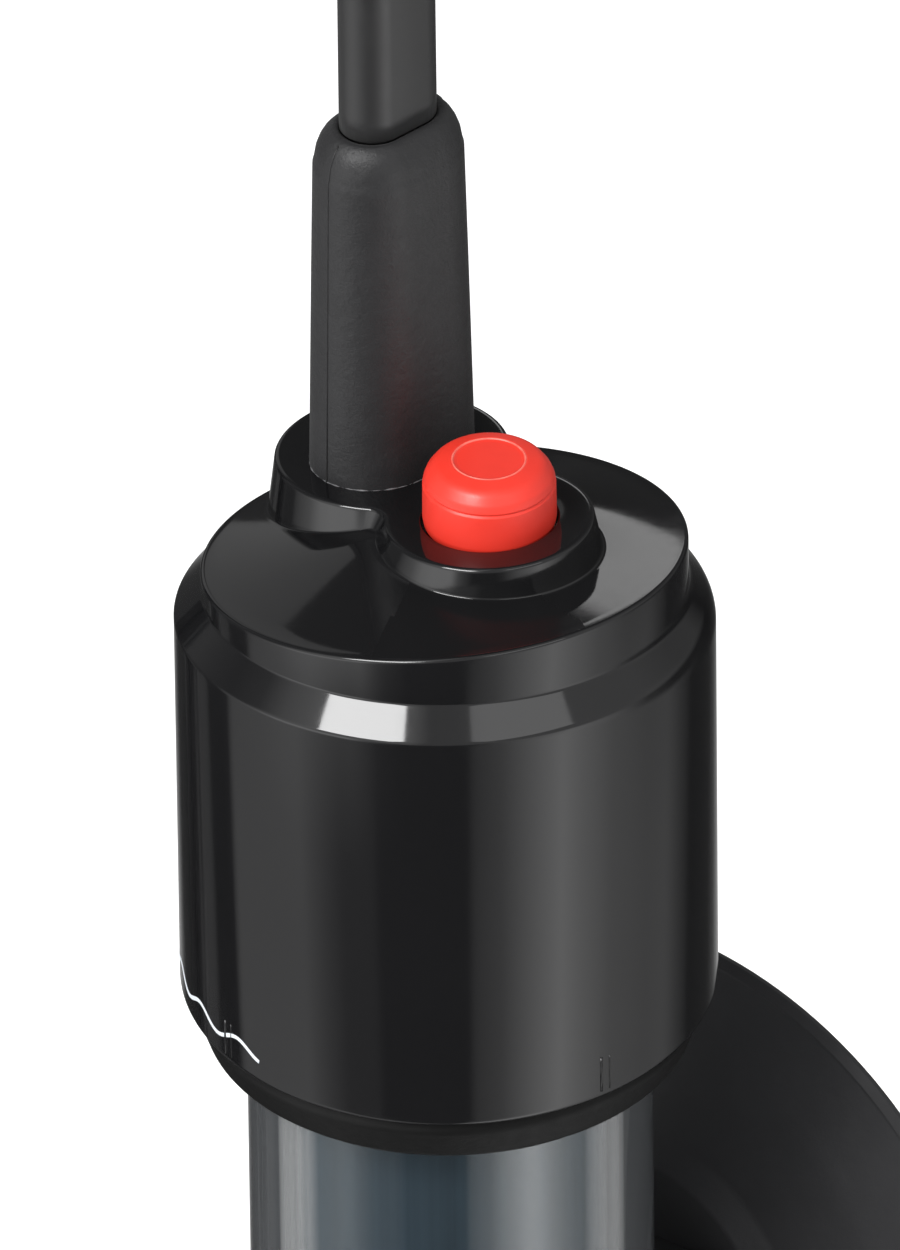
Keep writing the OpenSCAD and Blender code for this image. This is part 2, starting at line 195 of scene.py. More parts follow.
def lathe(name: str, profile: list[Point2], sides: int = 96, centre: Vector = AXIS,
          looped: bool = False) -> Piece:
    """Turns a profile of (radius, height) points in metres about an upright axis.

    Args:
        name: The piece's name.
        profile: Points from one end to the other.
        sides: Number of columns round the axis.
        centre: The axis in the XY plane.
        looped: Whether the profile's last point joins its first, as on a ring.

    Returns:
        The new object.
    """
    rings = [[polar(max(r, 1e-9), TURN * k / sides, z, centre) for k in range(sides)]
             for r, z in profile]
    return skin(name, rings, looped=looped)


def swept(name: str, path: list[Vector], wide: list[Vector],
          section: list[Point2]) -> Piece:
    """Sweeps a closed section along a path.

    Args:
        name: The piece's name.
        path: The centreline.
        wide: At each point, the direction of the section's first axis.
        section: The section's points, in metres.

    Returns:
        The new object.
    """
    rings = []
    for i, here in enumerate(path):
        ahead = (path[min(i + 1, len(path) - 1)] - path[max(i - 1, 0)]).normalized()
        across = (wide[i] - wide[i].dot(ahead) * ahead).normalized()
        other = ahead.cross(across)
        rings.append([here + across * x + other * y for x, y in section])
    return skin(name, rings)


def stadium(width: float, thick: float, sides: int = 32) -> list[Point2]:
    """The outline of a flat bar with round ends, wide along its first axis.

    Args:
        width: Its full width.
        thick: Its full thickness.
        sides: Number of points, a multiple of four.

    Returns:
        The points, anticlockwise.
    """
    flat, r = (width - thick) / 2, thick / 2
    points = []
    for k in range(sides):
        a = TURN * (k + 0.5) / sides
        points.append(((flat if math.cos(a) > 0 else -flat) + r * math.cos(a), r * math.sin(a)))
    return points


def catmull(points: list[Vector], steps: int) -> list[Vector]:
    """A smooth curve through points.

    Args:
        points: The points that it passes through.
        steps: Number of stretches between two points.

    Returns:
        The curve's points.
    """
    curve = []
    for i in range(len(points) - 1):
        a, b, c, d = (points[max(i - 1, 0)], points[i], points[i + 1],
                      points[min(i + 2, len(points) - 1)])
        for j in range(steps):
            t = j / steps
            curve.append(0.5 * (2 * b + (c - a) * t + (2 * a - 5 * b + 4 * c - d) * t * t
                                + (3 * b - a - 3 * c + d) * t ** 3))
    curve.append(points[-1].copy())
    return curve


# ---- Finishes ----
class Tree:
    """A node tree, with short ways to add its nodes and to join them."""

    def __init__(self, tree: bpy.types.NodeTree) -> None:
        """Takes over a tree.

        Args:
            tree: The tree.
        """
        self.tree = tree

    def add(self, kind: str, inputs: dict[str | int, object] | None = None,
            **settings: object) -> bpy.types.Node:
        """Adds a node.

        Args:
            kind: The node's type.
            inputs: For each of its inputs, the socket that feeds it or its value.
            settings: The node's own settings.

        Returns:
            The node.
        """
        node = self.tree.nodes.new(kind)
        for name, value in settings.items():
            setattr(node, name, value)
        for key, value in (inputs or {}).items():
            if isinstance(value, Socket):
                self.tree.links.new(value, node.inputs[key])
            else:
                node.inputs[key].default_value = value
        return node

    def spread(self, source: Socket, low: float, high: float, start: float = 0.3,
               stop: float = 0.7) -> Socket:
        """Maps a value from start..stop to low..high."""
        return self.add("ShaderNodeMapRange", {"Value": source, "From Min": start, "From Max": stop,
                                               "To Min": low, "To Max": high}).outputs["Result"]

    def mix(self, factor: Socket, low: object, high: object) -> Socket:
        """Blends two colours, each a socket or a value."""
        return self.add("ShaderNodeMix", {"Factor": factor, "A": low, "B": high},
                        data_type="RGBA").outputs["Result"]

    def maths(self, operation: str, first: Socket, second: Socket | float = 0.0) -> Socket:
        """Works out a sum from one or two values.

        Args:
            operation: The node's operation.
            first: The first value.
            second: The second value, or a constant.

        Returns:
            The result.
        """
        return self.add("ShaderNodeMath", {0: first, 1: second}, operation=operation).outputs["Value"]


class Shader(Tree):
    """A material's node tree, with what the finishes need."""

    def __init__(self, name: str) -> None:
        """Makes an empty material.

        Args:
            name: The material's name.
        """
        self.material = bpy.data.materials.new(name)
        self.material.use_nodes = True
        super().__init__(self.material.node_tree)
        self.bsdf = self.tree.nodes["Principled BSDF"]
        self.place = self.add("ShaderNodeTexCoord").outputs["Object"]

    def set(self, **values: object) -> None:
        """Sets the shader's own inputs, named with underscores for spaces, to values or sockets.

        Args:
            values: The inputs' values or the sockets that feed them.
        """
        for name, value in values.items():
            target = self.bsdf.inputs[name.replace("_", " ")]
            if isinstance(value, Socket):
                self.tree.links.new(value, target)
            else:
                target.default_value = value

    def scaled(self, scale: tuple[float, float, float]) -> Socket:
        """Object coordinates stretched by a scale."""
        return self.add("ShaderNodeMapping", {"Scale": scale, "Vector": self.place}).outputs["Vector"]

    def noise(self, scale: float, detail: float = 3.0, rough: float = 0.5,
              vector: Socket | None = None) -> Socket:
        """A noise pattern.

        Args:
            scale: Its size, in waves per metre.
            detail: Its octaves.
            rough: How strong the fine octaves are.
            vector: Its coordinates, the object's own if none are given.

        Returns:
            The pattern's factor.
        """
        return self.add("ShaderNodeTexNoise", {"Scale": scale, "Detail": detail, "Roughness": rough,
                                               "Vector": vector or self.place}).outputs["Fac"]

    def between(self, factor: Socket, low: Colour, high: Colour) -> None:
        """Sets the base colour to a blend of two colours by a pattern."""
        self.set(Base_Color=self.mix(factor, (*low, 1), (*high, 1)))

    def over(self, mask: Socket, colour: Colour) -> None:
        """Lays a colour over the base colour where a mask is 1."""
        under = self.bsdf.inputs["Base Color"].links[0].from_socket
        self.set(Base_Color=self.mix(mask, under, (*colour, 1)))

    def rough_from(self, factor: Socket, low: float, high: float) -> None:
        """Sets the roughness from a pattern."""
        self.set(Roughness=self.spread(factor, low, high))

    def bump(self, height: Socket, depth: float, under: Socket | None = None) -> Socket:
        """Adds a bump.

        Args:
            height: The pattern.
            depth: Its depth in metres.
            under: An earlier bump that it lies on.

        Returns:
            The normal, which also drives the shader.
        """
        inputs = {"Strength": 1.0, "Distance": depth, "Height": height}
        if under is not None:
            inputs["Normal"] = under
        normal = self.add("ShaderNodeBump", inputs).outputs["Normal"]
        self.set(Normal=normal)
        return normal


@dataclass(frozen=True)
class Finish:
    """A plain moulded finish, with a slight change of tone and a fine grain."""

    name: str
    colour: Colour
    roughness: float = 0.4
    tone: float = 0.12
    grain: float = 2500.0
    depth: float = 0.004 * MM

    def shades(self) -> tuple[Colour, Colour]:
        """The darker and the lighter tone of its colour.

        Returns:
            The two colours.
        """
        low = tuple(c * (1 - self.tone) for c in self.colour)
        high = tuple(min(c * (1 + self.tone), 1.0) for c in self.colour)
        return low, high

    def material(self) -> bpy.types.Material:
        """Builds the finish's material.

        Returns:
            The new material.
        """
        shader = Shader(self.name)
        self.paint(shader)
        return shader.material

    def paint(self, shader: Shader) -> None:
        """Sets up the finish's shader.

        Args:
            shader: The new material's shader.
        """
        shader.between(shader.noise(180, 4), *self.shades())
        shader.rough_from(shader.noise(420, 5), self.roughness * 0.88, self.roughness * 1.12)
        shader.bump(shader.noise(self.grain, 4, 0.6), self.depth)


@dataclass(frozen=True)
class GlossMoulding(Finish):
    """Polished moulded plastic with faint flow waves and fine wiping marks."""

    wave: float = 0.012 * MM
    ior: float = 1.5

    def paint(self, shader: Shader) -> None:
        """Sets up the finish's shader.

        Args:
            shader: The new material's shader.
        """
        shader.set(IOR=self.ior)
        shader.between(shader.noise(90, 3), *self.shades())
        marks = shader.noise(900, 6, 0.7, shader.scaled((1, 1, 0.15)))
        shader.rough_from(marks, self.roughness * 0.75, self.roughness * 1.35)
        waves = shader.bump(shader.noise(110, 1, 0.3), self.wave)
        shader.bump(shader.noise(self.grain, 3, 0.5), self.depth, waves)


@dataclass(frozen=True)
class Rubber(Finish):
    """Soft rubber with a moulded grain and a dry, dusty sheen."""

    sheen: float = 0.12
    ior: float = 1.48

    def paint(self, shader: Shader) -> None:
        """Sets up the finish's shader.

        Args:
            shader: The new material's shader.
        """
        shader.set(Sheen_Weight=self.sheen, Sheen_Roughness=0.6, IOR=self.ior)
        shader.between(shader.noise(260, 6, 0.6), *self.shades())
        shader.rough_from(shader.noise(700, 5), self.roughness * 0.85, self.roughness * 1.1)
        coarse = shader.bump(shader.noise(self.grain * 0.3, 3), self.depth * 1.5)
        shader.bump(shader.noise(self.grain, 5, 0.7), self.depth, coarse)


@dataclass(frozen=True)
class HeavyGlass(Finish):
    """Thick clear glass: a faint mirror where it is seen square on; at its edges a dull dark grey, painted
    light for what the thick glass's edges pick up.
    """

    square_on: float = 0.065
    edge: float = 0.93
    # a diffuse grey at the edges that stands in for the light the glass's edges pick up: painted light
    painted_edge_light: Colour = (0.05, 0.053, 0.056)
    rim_span: Point2 = (0.44, 0.58)           # from where the edge begins to where it is full

    def paint(self, shader: Shader) -> None:
        """Sets up the finish's shader.

        Args:
            shader: The new material's shader.
        """
        shader.rough_from(shader.noise(90, 2), self.roughness * 0.8, self.roughness * 1.2)
        shader.bump(shader.noise(40, 1, 0.3, shader.scaled((1, 1, 0.05))), self.depth)
        turned = shader.add("ShaderNodeLayerWeight", {"Blend": 0.5}).outputs["Facing"]
        rim = shader.spread(turned, 0.0, 1.0, *self.rim_span)
        # at the edges the mirror gives way to a grey base colour: painted light
        shader.between(rim, self.colour, self.painted_edge_light)
        shader.set(Metallic=shader.spread(rim, 1.0, 0.0, 0.0, 1.0),
                   Alpha=shader.spread(rim, self.square_on, self.edge, 0.0, 1.0))


@dataclass(frozen=True)
class RingedCap(Finish):
    """Soft plastic with a thin pale ring about an upright axis, broken up by a noise pattern."""

    axis: Point2 = (0.0, 0.0)
    ring: float = 0.0
    ring_wide: float = 0.11 * MM
    ring_colour: Colour = (0.95, 0.30, 0.24)

    def paint(self, shader: Shader) -> None:
        """Sets up the finish's shader.

        Args:
            shader: The new material's shader.
        """
        shader.between(shader.noise(420, 5, 0.6), *self.shades())
        flat = shader.add("ShaderNodeMapping", {"Location": (-self.axis[0], -self.axis[1], 0),
                                                "Scale": (1, 1, 0), "Vector": shader.place})
        away = shader.add("ShaderNodeVectorMath", {0: flat.outputs["Vector"]}, operation="LENGTH")
        off = shader.maths("ABSOLUTE", shader.maths("SUBTRACT", away.outputs["Value"], self.ring))
        line = shader.spread(off, 1.0, 0.0, 0.3 * self.ring_wide, self.ring_wide)
        shader.over(shader.maths("MULTIPLY", line, shader.noise(1500, 4)), self.ring_colour)
        shader.rough_from(shader.noise(700, 5), self.roughness * 0.85, self.roughness * 1.15)
        coarse = shader.bump(shader.noise(self.grain * 0.3, 2), self.depth * 2)
        shader.bump(shader.noise(self.grain, 4, 0.6), self.depth, coarse)


@dataclass(frozen=True)
class StreakedSleeve(Finish):
    """Smooth sheet rolled into a sleeve, with faint streaks along the tube."""

    def paint(self, shader: Shader) -> None:
        """Sets up the finish's shader.

        Args:
            shader: The new material's shader.
        """
        shader.set(IOR=1.1)
        streaks = shader.noise(self.grain, 5, 0.7, shader.scaled((1, 1, 0.004)))
        shader.between(shader.spread(streaks, 0.0, 1.0, 0.35, 0.65), *self.shades())
        shader.rough_from(streaks, self.roughness * 0.8, self.roughness * 1.2)
        shader.bump(streaks, self.depth)


@dataclass(frozen=True)
class Drawn(Finish):
    """Drawn or turned metal with fine lines along its length."""

    along: tuple[float, float, float] = (1, 1, 0.05)

    def paint(self, shader: Shader) -> None:
        """Sets up the finish's shader.

        Args:
            shader: The new material's shader.
        """
        shader.set(Metallic=1.0)
        lines = shader.noise(self.grain, 4, 0.6, shader.scaled(self.along))
        shader.between(lines, *self.shades())
        shader.rough_from(lines, self.roughness * 0.7, self.roughness * 1.3)
        shader.bump(lines, self.depth)


class Finishes:
    """Every finish of the heater, built once."""

    HEAD = GlossMoulding("gloss_black_moulding", (0.0055, 0.0055, 0.006), 0.07, 0.1, 3200, 0.0004 * MM)
    WIPED = GlossMoulding("wiped_black_moulding", (0.0085, 0.0085, 0.009), 0.16, 0.1, 3200, 0.0004 * MM,
                          ior=1.09)
    BOOT = Rubber("boot_rubber", (0.0125, 0.0125, 0.0135), 0.46, 0.3, 4400, 0.04 * MM, 0.05, 1.42)
    CORD = Rubber("cord_sheath", (0.015, 0.015, 0.0155), 0.38, 0.12, 3400, 0.003 * MM, 0.04)
    CUP = Rubber("cup_rubber", (0.025, 0.025, 0.027), 0.5, 0.15, 3800, 0.012 * MM, 0.04, 1.36)
    SEAL = Rubber("seal_rubber", (0.005, 0.005, 0.005), 0.5, 0.3, 4200, 0.02 * MM, 0.0, 1.25)
    CAP = RingedCap("red_cap", (0.80, 0.037, 0.021), 0.42, 0.06, 5200, 0.004 * MM)
    # pale only as a painted highlight: the glints where the strain relief meets the platform
    HIGHLIGHT_BEAD = Finish("painted_highlight_bead", (0.13, 0.13, 0.135), 0.4, 0.8, 2500, 0.004 * MM)
    PRINT = Finish("white_print", (0.70, 0.74, 0.78), 0.5, 0.04, 2500, 0.0005 * MM)
    CLIP = Finish("clip_plastic", (0.014, 0.014, 0.015), 0.36, 0.15, 3000, 0.004 * MM)
    GLASS = HeavyGlass("tube_glass", (0.95, 0.97, 0.975), 0.03, 0.02, 100, 0.004 * MM)
    SLEEVE = StreakedSleeve("blue_grey_sleeve", (0.026, 0.042, 0.055), 0.4, 0.16, 700, 0.001 * MM)
    STEEL = Drawn("bright_steel", (0.58, 0.58, 0.57), 0.25, 0.1, 3000, 0.002 * MM)
    NICKEL = Drawn("nickel_pins", (0.72, 0.71, 0.68), 0.2, 0.06, 3000, 0.001 * MM)
    BRASS = Drawn("contact_brass", (0.62, 0.45, 0.2), 0.3, 0.1, 3000, 0.002 * MM)
    CERAMIC = Finish("fired_ceramic", (0.72, 0.69, 0.62), 0.55, 0.08, 2600, 0.010 * MM)
    BOARD = Finish("resin_board", (0.42, 0.33, 0.17), 0.5, 0.15, 2200, 0.006 * MM)
    SWITCH = Finish("switch_plastic", (0.03, 0.04, 0.07), 0.4, 0.1)
    NYLON = Finish("natural_nylon", (0.62, 0.6, 0.54), 0.4, 0.06)
    LAMP = Finish("lamp_glass", (0.9, 0.32, 0.1), 0.12, 0.05)
    WIRE = Finish("wire_cover", (0.35, 0.03, 0.02), 0.45, 0.1)
    _made: dict[str, bpy.types.Material] = {}

    @classmethod
    def of(cls, finish: Finish) -> bpy.types.Material:
        """The material of a finish, built the first time it is asked for.

        Args:
            finish: The finish.

        Returns:
            Its material.
        """
        if finish.name not in cls._made:
            cls._made[finish.name] = finish.material()
        return cls._made[finish.name]


def dress(piece: Piece, *finishes: Finish) -> None:
    """Gives a piece its materials, one for each slot.

    Args:
        piece: The piece.
        finishes: The finish of each slot.
    """
    piece.data.materials.clear()
    for finish in finishes:
        piece.data.materials.append(Finishes.of(finish))


def install(piece: Piece, finish: Finish | None, body: str, slot: str,
            *nodes: str) -> Piece:
    """Dresses a piece and puts it on its body, in place of CAD nodes.

    Args:
        piece: The piece, in place.
        finish: Its finish, or None if it is dressed already.
        body: The body that it rides on.
        slot: The record's material slot; it is not used.
        nodes: The nodes that it replaces.

    Returns:
        The piece.
    """
    if finish:
        dress(piece, finish)
    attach(piece, body)
    if nodes:
        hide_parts(*nodes)
    LOG.info("%s rides on %s, %d faces", piece.name, body, len(piece.data.polygons))
    return piece


# ---- Geometry Nodes ----
class NodeForm(Tree):
    """A Geometry Nodes tree with named inputs, which is baked into a plain mesh."""

    def __init__(self, name: str, inputs: dict[str, float | int]) -> None:
        """Starts the tree.

        Args:
            name: The tree's name.
            inputs: Its named inputs and their values. An int makes an integer socket.
        """
        super().__init__(bpy.data.node_groups.new(name, "GeometryNodeTree"))
        self.values = dict(inputs)
        face = self.tree.interface
        face.new_socket("Geometry", in_out="INPUT", socket_type="NodeSocketGeometry")
        for key, value in inputs.items():
            kind = "NodeSocketInt" if isinstance(value, int) else "NodeSocketFloat"
            face.new_socket(key, in_out="INPUT", socket_type=kind)
        face.new_socket("Geometry", in_out="OUTPUT", socket_type="NodeSocketGeometry")
        self.given = self.add("NodeGroupInput").outputs

    def end(self, shape: Socket, finish: Finish) -> None:
        """Ends the tree in Realize Instances and Set Material.

        Args:
            shape: The geometry.
            finish: Its finish.
        """
        real = self.add("GeometryNodeRealizeInstances", {"Geometry": shape})
        paint = self.add("GeometryNodeSetMaterial", {"Geometry": real.outputs["Geometry"],
                                                     "Material": Finishes.of(finish)})
        self.add("NodeGroupOutput", {"Geometry": paint.outputs["Geometry"]})

    def bake(self, name: str) -> Piece:
        """Runs the tree and keeps its result as a plain mesh.

        Args:
            name: The piece's name.

        Returns:
            The new object, with no modifier.
        """
        holder = placed(name + "_holder", bpy.data.meshes.new(name + "_holder"))
        modifier = holder.modifiers.new("form", "NODES")
        modifier.node_group = self.tree
        for item in self.tree.interface.items_tree:
            if item.in_out == "INPUT" and item.name in self.values:
                modifier[item.identifier] = self.values[item.name]
        graph = bpy.context.evaluated_depsgraph_get()
        mesh = bpy.data.meshes.new_from_object(holder.evaluated_get(graph))
        mesh.name = name
        holder.modifiers.remove(modifier)
        bpy.data.objects.remove(holder)
        for polygon in mesh.polygons:
            polygon.use_smooth = True
        return placed(name, mesh)


def wound_wire(name: str, finish: Finish, radius: float, wire: float, turns: float, low: float,
               high: float, centre: Vector, per_turn: int = 48, sides: int = 10) -> Piece:
    """A round wire wound about an upright axis.

    Args:
        name: The piece's name.
        finish: Its finish.
        radius: The radius of its centreline.
        wire: The wire's radius.
        turns: Number of turns.
        low: Height of its first end.
        high: Height of its last end.
        centre: The axis in the XY plane.
        per_turn: Steps to a turn.
        sides: Sides of the wire.

    Returns:
        The new object.
    """
    form = NodeForm(name + "_form", {"Turns": float(turns), "Radius": radius, "Wire": wire,
                                     "Rise": high - low, "Steps": per_turn, "Sides": sides})
    given = form.given
    spiral = form.add("GeometryNodeCurveSpiral", {
        "Resolution": given["Steps"], "Rotations": given["Turns"], "Start Radius": given["Radius"],
        "End Radius": given["Radius"], "Height": given["Rise"]})
    circle = form.add("GeometryNodeCurvePrimitiveCircle", {"Resolution": given["Sides"],
                                                           "Radius": given["Wire"]})
    tube = form.add("GeometryNodeCurveToMesh", {
        "Curve": spiral.outputs["Curve"], "Profile Curve": circle.outputs["Curve"], "Fill Caps": True})
    shift = form.add("GeometryNodeTransform", {"Geometry": tube.outputs["Mesh"],
                                               "Translation": (centre.x, centre.y, low)})
    form.end(shift.outputs["Geometry"], finish)
    return form.bake(name)


def row_of_bars(name: str, finish: Finish, count: int, size: Vector, first: Vector,
                step: Vector) -> Piece:
    """A row of round-edged bars.

    Args:
        name: The piece's name.
        finish: Its finish.
        count: Number of bars.
        size: A bar's half sizes along X, Y and Z.
        first: The centre of the first bar.
        step: From one bar to the next.

    Returns:
        The new object.
    """
    form = NodeForm(name + "_form", {"Count": count, "Segments": 16, "Rings": 10})
    row = form.add("GeometryNodeMeshLine", {"Count": form.given["Count"], "Start Location": first,
                                            "Offset": step}, mode="OFFSET")
    ball = form.add("GeometryNodeMeshUVSphere", {"Segments": form.given["Segments"],
                                                 "Rings": form.given["Rings"], "Radius": 1.0})
    spots = form.add("GeometryNodeInstanceOnPoints", {
        "Points": row.outputs["Mesh"], "Instance": ball.outputs["Mesh"], "Scale": size})
    form.end(spots.outputs["Instances"], finish)
    return form.bake(name)


# ---- The head ----
@dataclass
class Head:
    """The moulded head, its gasket, the button and the strain relief."""

    cavity_r: float = 13.2 * MM
    cavity_z: float = -6.0 * MM
    ledge_z: float = -10.0 * MM               # where the cavity widens for the glass
    wall_r: float = 18.0 * MM
    neck_r: float = 16.2 * MM
    inner_r: float = 16.0 * MM
    middle_z: float = 72.0 * MM
    drop: float = 34.1 * MM
    turn: float = math.radians(-10.7)
    top_slope: float = math.tan(math.radians(9.5))
    top_turn: float = math.radians(-27)
    shoulder_slope: float = math.tan(math.radians(4.5))
    shoulder_turn: float = math.radians(-50)
    shoulder_z: float = -2.5 * MM
    shoulder_h: float = 2.1 * MM
    soft_turn: float = math.radians(40)       # where the shoulder is softest
    platform: float = 3.7 * MM
    pad_slope: float = math.tan(math.radians(4.75))
    button_z: float = 3.95 * MM
    seat_z: float = 2.2 * MM
    boot_at: Point2 = (-7.9 * MM, 2.65 * MM)
    button_at: Point2 = (3.4 * MM, 1.0 * MM)
    boot_pad_r: float = 7.85 * MM
    button_pad_r: float = 7.0 * MM
    pad_blend_r: float = 1.6 * MM
    draft: float = 0.46 * MM                  # how far the platform's foot stands out
    foot_r: float = 0.15 * MM                 # the fillets at the platform's foot and the well's rim
    edge_r: float = 0.32 * MM
    pad_inset: float = 0.45 * MM              # where the platform's flat top begins
    rim_gap: float = 0.34 * MM                # from the neck's edge to the first ring of the top
    rim_limit: float = 0.4 * MM               # how near to the neck's edge the platform may come
    cone_at: Point2 = (-1.3 * MM, -0.7 * MM)
    cone_r: float = 13.8 * MM
    cone_h: float = 3.45 * MM
    cone_soft: float = 0.25 * MM              # how softly the cone runs out
    well_r: float = 4.55 * MM
    cap_r: float = 4.46 * MM
    ring_r: float = 2.42 * MM                 # the thin ring on the button
    well_z: float = 0.6 * MM
    ray_start: float = 4.2 * MM               # from the button's axis towards the strain relief
    front: float = math.radians(-44)          # the middle of the duller patch on the top
    wiped_half: float = math.radians(27)
    wiped_from: float = 6.0 * MM
    wiped_in: float = 0.45 * MM               # how far it stays from the edge of the top
    wiped_low: float = -4.0 * MM
    wiped_under: float = 1.0 * MM             # how far it stays below the platform
    level_enough: float = 0.8                 # how upright a face's normal has to be
    boot_long: float = 11.8 * MM
    boot_short: float = 8.8 * MM
    slot_size: Point2 = (7.25 * MM, 4.55 * MM)
    slot_inset: float = -4.2                  # a level narrower than this is the cord's slot
    # up the strain relief: height above its seat, then how much narrower it is, in millimetres
    boot_levels: tuple[Point2, ...] = (
        (-0.5, 0.0), (0.35, 0.0), (8.0, -0.3), (16.0, -0.62), (23.6, -0.95), (23.95, -0.97),
        (24.2, -1.12), (24.5, -1.22), (25.1, -1.42), (25.7, -1.85), (26.15, -2.35), (26.5, -2.95),
        (26.7, -3.45), (26.76, -3.8), (26.75, -4.05), (26.68, -4.25), (26.4, -4.3), (25.0, -4.3))
    level_drop: float = 31.85 * MM            # of the printed water level, below the top
    level_span: Point2 = (math.radians(-98), math.radians(-214))
    level_size: Point2 = (0.3 * MM, 0.02 * MM)
    level_swing: float = 0.42 * MM
    level_period: float = math.radians(15.4)
    level_crest: float = math.radians(-104.9)
    seam_turn: float = math.radians(-19.2)
    columns: int = 288

    def world(self, x: float, y: float, z: float) -> Vector:
        """A point of the head's own frame, in the row frame."""
        c, s = math.cos(self.turn), math.sin(self.turn)
        return Vector((AXIS.x + c * x - s * y, AXIS.y + s * x + c * y, self.middle_z + z))

    def rise(self, p: Vector, slope: float) -> float:
        """Height over the axis of a plane with a slope, at a point of the row frame."""
        flat = Vector((p.x, p.y)) - AXIS
        return slope * (flat.x * math.cos(self.top_turn) + flat.y * math.sin(self.top_turn))

    def top_at(self, p: Vector) -> float:
        """Height of the top, with its low cone, above its middle at a point of the row frame.

        Args:
            p: The point, whose height doesn't count.

        Returns:
            The height.
        """
        apex = self.world(*self.cone_at, 0)
        away = (Vector((p.x, p.y)) - Vector((apex.x, apex.y))).length
        swell = self.cone_h * (1 - away / self.cone_r)
        swell = 0.5 * (swell + math.sqrt(swell * swell + self.cone_soft * self.cone_soft))
        return self.rise(p, self.top_slope) + swell

    def platform_at(self, p: Vector) -> float:
        """Height of the platform above the middle of the top, at a point of the row frame."""
        return self.platform + self.rise(p, self.pad_slope)

    def wall_profile(self, a: float) -> list[Point2]:
        """The outside from the cavity's edge, down, out, up the wall and in over the top.

        Args:
            a: The direction from the axis, in the row frame.

        Returns:
            Points of (radius, height above the middle of the top).
        """
        lift = self.shoulder_slope * math.cos(a - self.shoulder_turn)
        top = self.top_slope * math.cos(a - self.top_turn)
        soft = max(0.0, math.cos(a - self.soft_turn)) ** 2
        edge = self.neck_r - 0.9 * MM
        return rounded(
            (self.cavity_r, self.ledge_z),
            (self.inner_r, self.ledge_z, 0.4 * MM, 3),
            (self.inner_r, -self.drop, 0.25 * MM, 3),
            (self.wall_r, -self.drop, 0.55 * MM, 6),
            (self.wall_r, self.shoulder_z - self.shoulder_h + lift * self.wall_r,
             (0.45 + 2.4 * soft) * MM, 8),
            (self.neck_r, self.shoulder_z + lift * self.neck_r, (0.3 + 1.2 * soft) * MM, 6),
            (self.neck_r, top * self.neck_r, 0.28 * MM, 6),
            (edge, top * edge))[:-1]

    def outline(self, a: float) -> Point2:
        """The platform's outline along a ray from a point beside the waist.

        Args:
            a: The ray's direction in the head's frame.

        Returns:
            The point of the outline, in the head's frame.
        """
        first, second = Vector(self.boot_at), Vector(self.button_at)
        between = second - first
        d, turn = between.length, math.atan2(between.y, between.x)
        ra, rb, rf = self.boot_pad_r, self.button_pad_r, self.pad_blend_r
        fx = ((ra + rf) ** 2 - (rb + rf) ** 2 + d * d) / (2 * d)
        fy = math.sqrt((ra + rf) ** 2 - fx * fx)
        at = d - self.ray_start
        ray = Vector((math.cos(a - turn), math.sin(a - turn)))
        sign = 1 if ray.y >= 0 else -1
        blend = Vector((fx - at, sign * fy))
        spans = []
        for x, r in ((-at, ra), (d - at, rb)):
            mark = Vector((x, 0)) + (blend - Vector((x, 0))).normalized() * r
            spans.append(math.atan2(sign * mark.y, mark.x))
        here = math.atan2(sign * ray.y, ray.x)
        if min(spans) <= here <= max(spans):
            reach = blend.dot(ray)
            t = reach - math.sqrt(max(rf * rf - blend.length_squared + reach ** 2, 0))
        else:
            x, r = (-at, ra) if here > max(spans) else (d - at, rb)
            t = x * ray.x + math.sqrt(r * r - x * x + (x * ray.x) ** 2)
        along, across = at + ray.x * t, ray.y * t
        return (first.x + along * math.cos(turn) - across * math.sin(turn),
                first.y + along * math.sin(turn) + across * math.cos(turn))

    def shell(self) -> Piece:
        """Builds the moulded shell as one closed skin.

        Returns:
            The new object.
        """
        n = self.columns
        angles = [TURN * k / n for k in range(n)]
        walls = [self.wall_profile(a) for a in angles]
        floor_z = self.middle_z + self.cavity_z
        rings = [[Vector((AXIS.x, AXIS.y, floor_z))] * n,
                 [polar(self.cavity_r, a, floor_z) for a in angles]]
        for i in range(len(walls[0])):
            rings.append([polar(w[i][0], a, self.middle_z + w[i][1]) for a, w in zip(angles, walls)])
        rings += self.pad_rings(angles)
        return skin("head_moulding", rings, Closing.OPEN, Closing.OPEN)

    def pad_rings(self, angles: list[float]) -> list[list[Vector]]:
        """The rings of the platform: its foot, wall, edge, top and the button's well.

        Args:
            angles: The directions of the shell's columns from the axis.

        Returns:
            The rings, from the edge of the top inwards.
        """
        n = len(angles)
        line = [Vector(self.outline(a - self.turn)) for a in angles]
        tangents = [line[(k + 1) % n] - line[k - 1] for k in range(n)]
        normals = [Vector((t.y, -t.x)).normalized() for t in tangents]
        limit = self.neck_r - self.rim_limit

        def ring(offset: float, lift: float, on_top: bool) -> list[Vector]:
            """A ring beside the outline, at a height above the top or the platform.

            Args:
                offset: How far it lies outside the outline.
                lift: Its height above the surface.
                on_top: Whether that is the head's top and not the platform.

            Returns:
                The ring's points.
            """
            made = []
            for p, m in zip(line, normals):
                q = p + m * offset
                if q.length > limit:
                    q = q * (limit / q.length)
                w = self.world(q.x, q.y, 0)
                w.z += (self.top_at(w) if on_top else self.platform_at(w)) + lift
                made.append(w)
            return made

